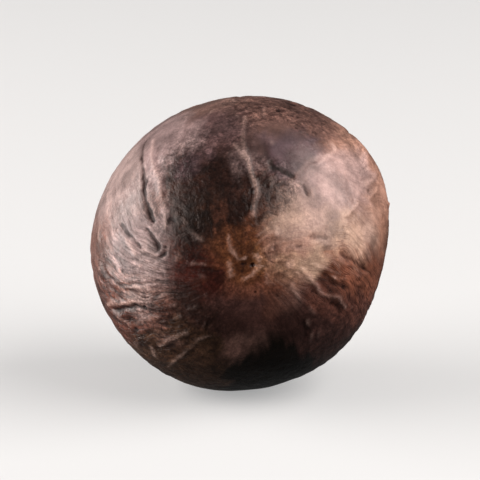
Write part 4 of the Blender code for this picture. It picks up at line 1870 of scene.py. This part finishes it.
@dataclass
class NutmegShell:
    """The seed in its shell, from a sphere drawn out to an egg and worked over point by point."""

    egg: Egg = field(default_factory=Egg)
    relief: ShellRelief = field(default_factory=ShellRelief)
    paint: ShellPaint = field(default_factory=ShellPaint)
    finish: ShellFinish = field(default_factory=ShellFinish)
    coarse_round: int = 128
    coarse_ends: int = 48
    splits: int = 3
    crowding: float = 0.20
    front_crowding: float = 0.34
    foot_depth: float = 0.24 * MM
    full_cut: float = 0.12 * MM
    streak_start: float = math.radians(9)
    streak_full: float = math.radians(30)
    streak_floor: float = 0.04
    cut_threshold: float = 1e-7
    smooth_angle: float = math.radians(60)

    def build(self) -> bpy.types.Object:
        """Models and dresses the shell.

        Returns:
            The finished piece.
        """
        piece = self.sphere()
        self.shape(piece)
        self.cut_foot(piece)
        self.smooth()
        piece.data.materials.clear()
        piece.data.materials.append(self.finish.build())
        return piece

    def sphere(self) -> bpy.types.Object:
        """Adds the sphere and splits its faces evenly.

        Returns:
            A unit sphere with its poles at the seed's two ends.
        """
        bpy.ops.object.select_all(action="DESELECT")
        bpy.ops.mesh.primitive_uv_sphere_add(
            segments=self.coarse_round, ring_count=self.coarse_ends, radius=1.0, location=(0, 0, 0)
        )
        piece = bpy.context.object
        piece.name = piece.data.name = "nutmeg_in_its_shell"
        bpy.ops.object.mode_set(mode="EDIT")
        bpy.ops.mesh.select_all(action="SELECT")
        bpy.ops.mesh.subdivide(number_cuts=self.splits, smoothness=0.0)
        bpy.ops.object.mode_set(mode="OBJECT")
        return piece

    def shape(self, piece: bpy.types.Object) -> None:
        """Moves the sphere's points onto the shell and notes what its finish needs.

        Args:
            piece: The sphere.
        """
        mesh = piece.data
        unit = np.empty(len(mesh.vertices) * 3)
        mesh.vertices.foreach_get("co", unit)
        unit = unit.reshape(-1, 3)
        unit /= np.linalg.norm(unit, axis=1, keepdims=True)
        theta = np.arccos(np.clip(unit[:, 2], -1.0, 1.0))
        theta -= self.front_crowding * np.sin(theta) + self.crowding * np.sin(2 * theta) / 2
        phi = np.arctan2(unit[:, 1], unit[:, 0]) - self.egg.swirl * np.sin(theta / 2)
        relief = self.relief.measure(self.egg, theta, phi)
        points = self.egg.points(theta, phi)
        moved = points + relief.height[:, None] * self.egg.normals(theta, phi)
        mesh.vertices.foreach_set("co", self.egg.tilted(moved).ravel())
        flow = np.stack([np.cos(relief.flow), np.sin(relief.flow), theta], axis=-1)
        near_end = np.minimum(theta, math.pi - theta)
        streak = self.streak_floor + (1 - self.streak_floor) * relief.wrinkled
        streak *= smooth_step(near_end, self.streak_start, self.streak_full)
        self.note(mesh, Attribute.FLOW, "FLOAT_VECTOR", "vector", flow)
        self.note(mesh, Attribute.TINT, "FLOAT_COLOR", "color", self.paint.tints(self.egg, points, flow))
        self.note(mesh, Attribute.CUT, "FLOAT", "value", relief.cut / self.full_cut)
        self.note(mesh, Attribute.TONE, "FLOAT", "value", relief.tone)
        self.note(mesh, Attribute.LEATHER, "FLOAT", "value", relief.leather)
        self.note(mesh, Attribute.STREAK, "FLOAT", "value", streak)
        mesh.update()

    def note(self, mesh: bpy.types.Mesh, attribute: Attribute, kind: str, part: str,
             values: np.ndarray) -> None:
        """Stores one value for each point.

        Args:
            mesh: The mesh that carries it.
            attribute: Which one it is.
            kind: Blender's name for its data type.
            part: The field that holds each value.
            values: The values, one row for each point.
        """
        layer = mesh.attributes.new(attribute.value, kind, "POINT")
        layer.data.foreach_set(part, np.asarray(values, np.float32).ravel())

    def cut_foot(self, piece: bpy.types.Object) -> None:
        """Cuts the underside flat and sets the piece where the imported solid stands.

        Args:
            piece: The shaped shell.
        """
        low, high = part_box(NODE)
        points = np.array([vertex.co for vertex in piece.data.vertices])
        level = points[:, 2].min() + self.foot_depth
        bpy.ops.object.mode_set(mode="EDIT")
        bpy.ops.mesh.select_all(action="SELECT")
        bpy.ops.mesh.bisect(
            plane_co=(0, 0, level), plane_no=(0, 0, 1), use_fill=True, clear_inner=True,
            threshold=self.cut_threshold,
        )
        bpy.ops.mesh.select_all(action="SELECT")
        bpy.ops.mesh.normals_make_consistent(inside=False)
        middle = (points.min(axis=0) + points.max(axis=0)) / 2
        target = (low + high) / 2
        shift = (target.x - middle[0], target.y - middle[1], low.z - level)
        bpy.ops.transform.translate(value=shift)
        bpy.ops.object.mode_set(mode="OBJECT")

    def smooth(self) -> None:
        """Shades the shell smooth, with an edge only round its flat spot."""
        bpy.ops.object.shade_smooth_by_angle(angle=self.smooth_angle)


@dataclass(frozen=True)
class SoftBox:
    """A soft lamp, placed by its direction from the seed. Azimuth 0 is the camera's side, 90 is +X."""

    name: str
    azimuth: float
    elevation: float
    distance: float
    size: tuple[float, float]
    radiance: float
    colour: tuple[float, float, float] = (1.0, 1.0, 1.0)

    def hang(self, target: Vector) -> None:
        """Makes the lamp.

        Args:
            target: The point that it faces.
        """
        around, up = math.radians(self.azimuth), math.radians(self.elevation)
        away = Vector((math.sin(around) * math.cos(up), -math.cos(around) * math.cos(up), math.sin(up)))
        lamp = bpy.data.lights.new(self.name, "AREA")
        lamp.shape = "RECTANGLE"
        lamp.size, lamp.size_y = self.size
        lamp.energy = self.radiance * math.pi * self.size[0] * self.size[1]
        lamp.color = self.colour
        placed = bpy.data.objects.new(self.name, lamp)
        placed.location = target + away * self.distance
        placed.rotation_euler = away.to_track_quat("Z", "Y").to_euler()
        placed.visible_camera = False
        bpy.context.scene.collection.objects.link(placed)


@dataclass
class Studio:
    """The pale sweep, the soft lamps and the camera."""

    floor_radius: float = 1.0
    sweep_radius: float = 0.5
    sweep_steps: int = 12
    floor_sides: int = 96
    floor_glow: float = 0.35
    floor_albedo: float = 0.35
    floor_roughness: float = 0.9
    room_light: float = 0.06
    camera_elevation: float = VIEW_ELEVATION
    camera_distance: float = 0.60
    frame_width: float = 43.0 * MM
    sensor: float = 36.0
    clip: tuple[float, float] = (0.01, 10.0)
    lamps: tuple[SoftBox, ...] = (
        SoftBox("left_panel", -91, 9, 0.30, (0.46, 0.40), 6.6, WARM),
        SoftBox("right_panel", 76, 36, 0.34, (0.50, 0.32), 5.2, WARM),
        SoftBox("top_panel", 172, 66, 0.45, (0.44, 0.30), 0.4, WARM),
    )

    def build(self, low: Vector, high: Vector) -> None:
        """Sets the stage round the object.

        Args:
            low: Lowest corner of the object.
            high: Its highest corner.
        """
        middle = (low + high) / 2
        self.sweep()
        for lamp in self.lamps:
            lamp.hang(middle)
        self.room()
        self.camera(middle)

    def sweep(self) -> None:
        """Models the pale floor that curves up all round into a wall."""
        bpy.ops.object.select_all(action="DESELECT")
        bpy.ops.mesh.primitive_circle_add(
            vertices=self.floor_sides, radius=self.floor_radius, fill_type="NGON", location=(0, 0, 0)
        )
        floor = bpy.context.object
        floor.name = floor.data.name = "pale_sweep"
        bpy.ops.object.mode_set(mode="EDIT")
        bpy.ops.mesh.select_all(action="SELECT")
        bpy.ops.mesh.select_mode(type="EDGE")
        bpy.ops.mesh.region_to_loop()
        reach, height = self.floor_radius, 0.0
        for step in range(1, self.sweep_steps + 1):
            turn = math.pi / 2 * step / self.sweep_steps
            new_reach = self.floor_radius + self.sweep_radius * math.sin(turn)
            new_height = self.sweep_radius * (1 - math.cos(turn))
            bpy.ops.mesh.extrude_region_move(TRANSFORM_OT_translate={"value": (0, 0, new_height - height)})
            growth = new_reach / reach
            bpy.ops.transform.resize(value=(growth, growth, 1.0), center_override=(0, 0, 0))
            reach, height = new_reach, new_height
        bpy.ops.mesh.extrude_region_move(TRANSFORM_OT_translate={"value": (0, 0, self.floor_radius)})
        bpy.ops.mesh.select_all(action="SELECT")
        bpy.ops.mesh.normals_make_consistent(inside=True)
        bpy.ops.object.mode_set(mode="OBJECT")
        bpy.ops.object.shade_smooth()
        floor.data.materials.append(self.floor_finish())
        floor.visible_diffuse = floor.visible_glossy = floor.visible_shadow = False
        floor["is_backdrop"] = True

    def floor_finish(self) -> bpy.types.Material:
        """Makes the pale floor's finish, with a little light of its own so that it stays even.

        Returns:
            The finished material.
        """
        material = bpy.data.materials.new("pale_floor")
        graph = Graph(material)
        shader = graph.add("BsdfPrincipled", {
            "Base Color": (self.floor_albedo, self.floor_albedo, self.floor_albedo, 1.0),
            "Roughness": self.floor_roughness,
            "Specular IOR Level": 0.0,
            "Emission Color": (1.0, 1.0, 1.0, 1.0),
            "Emission Strength": self.floor_glow,
        })
        output = graph.add("OutputMaterial")
        graph.tree.links.new(shader.outputs["BSDF"], output.inputs["Surface"])
        return material

    def room(self) -> None:
        """Gives the room round the lamps a dim, even light."""
        world = bpy.data.worlds.new("dim_room")
        world.use_nodes = True
        background = world.node_tree.nodes["Background"]
        background.inputs["Color"].default_value = (1.0, 1.0, 1.0, 1.0)
        background.inputs["Strength"].default_value = self.room_light
        bpy.context.scene.world = world
        bpy.context.scene.view_settings.view_transform = "Standard"

    def camera(self, middle: Vector) -> None:
        """Places the camera in front of the scar's end, a little above, with a long lens.

        Args:
            middle: The middle of the object.
        """
        lens = bpy.data.cameras.new("camera")
        lens.sensor_width = self.sensor
        lens.lens = self.sensor * self.camera_distance / self.frame_width
        placed = bpy.data.objects.new("camera", lens)
        away = Vector((0.0, -math.cos(self.camera_elevation), math.sin(self.camera_elevation)))
        placed.location = middle + away * self.camera_distance
        placed.rotation_euler = away.to_track_quat("Z", "Y").to_euler()
        lens.clip_start, lens.clip_end = self.clip
        bpy.context.scene.collection.objects.link(placed)
        bpy.context.scene.camera = placed


def main() -> None:
    """Builds the shell, then the studio round it."""
    logging.basicConfig(level=logging.INFO, format="%(name)s: %(message)s")
    noise.seed_set(DRIFT_SEED)
    shell = NutmegShell().build()
    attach(shell, "root")
    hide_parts(NODE)
    log.info("%s has %d faces", shell.name, len(shell.data.polygons))
    Studio().build(*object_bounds())
    log.info("studio and camera are set")


if __name__ == "__main__":
    main()
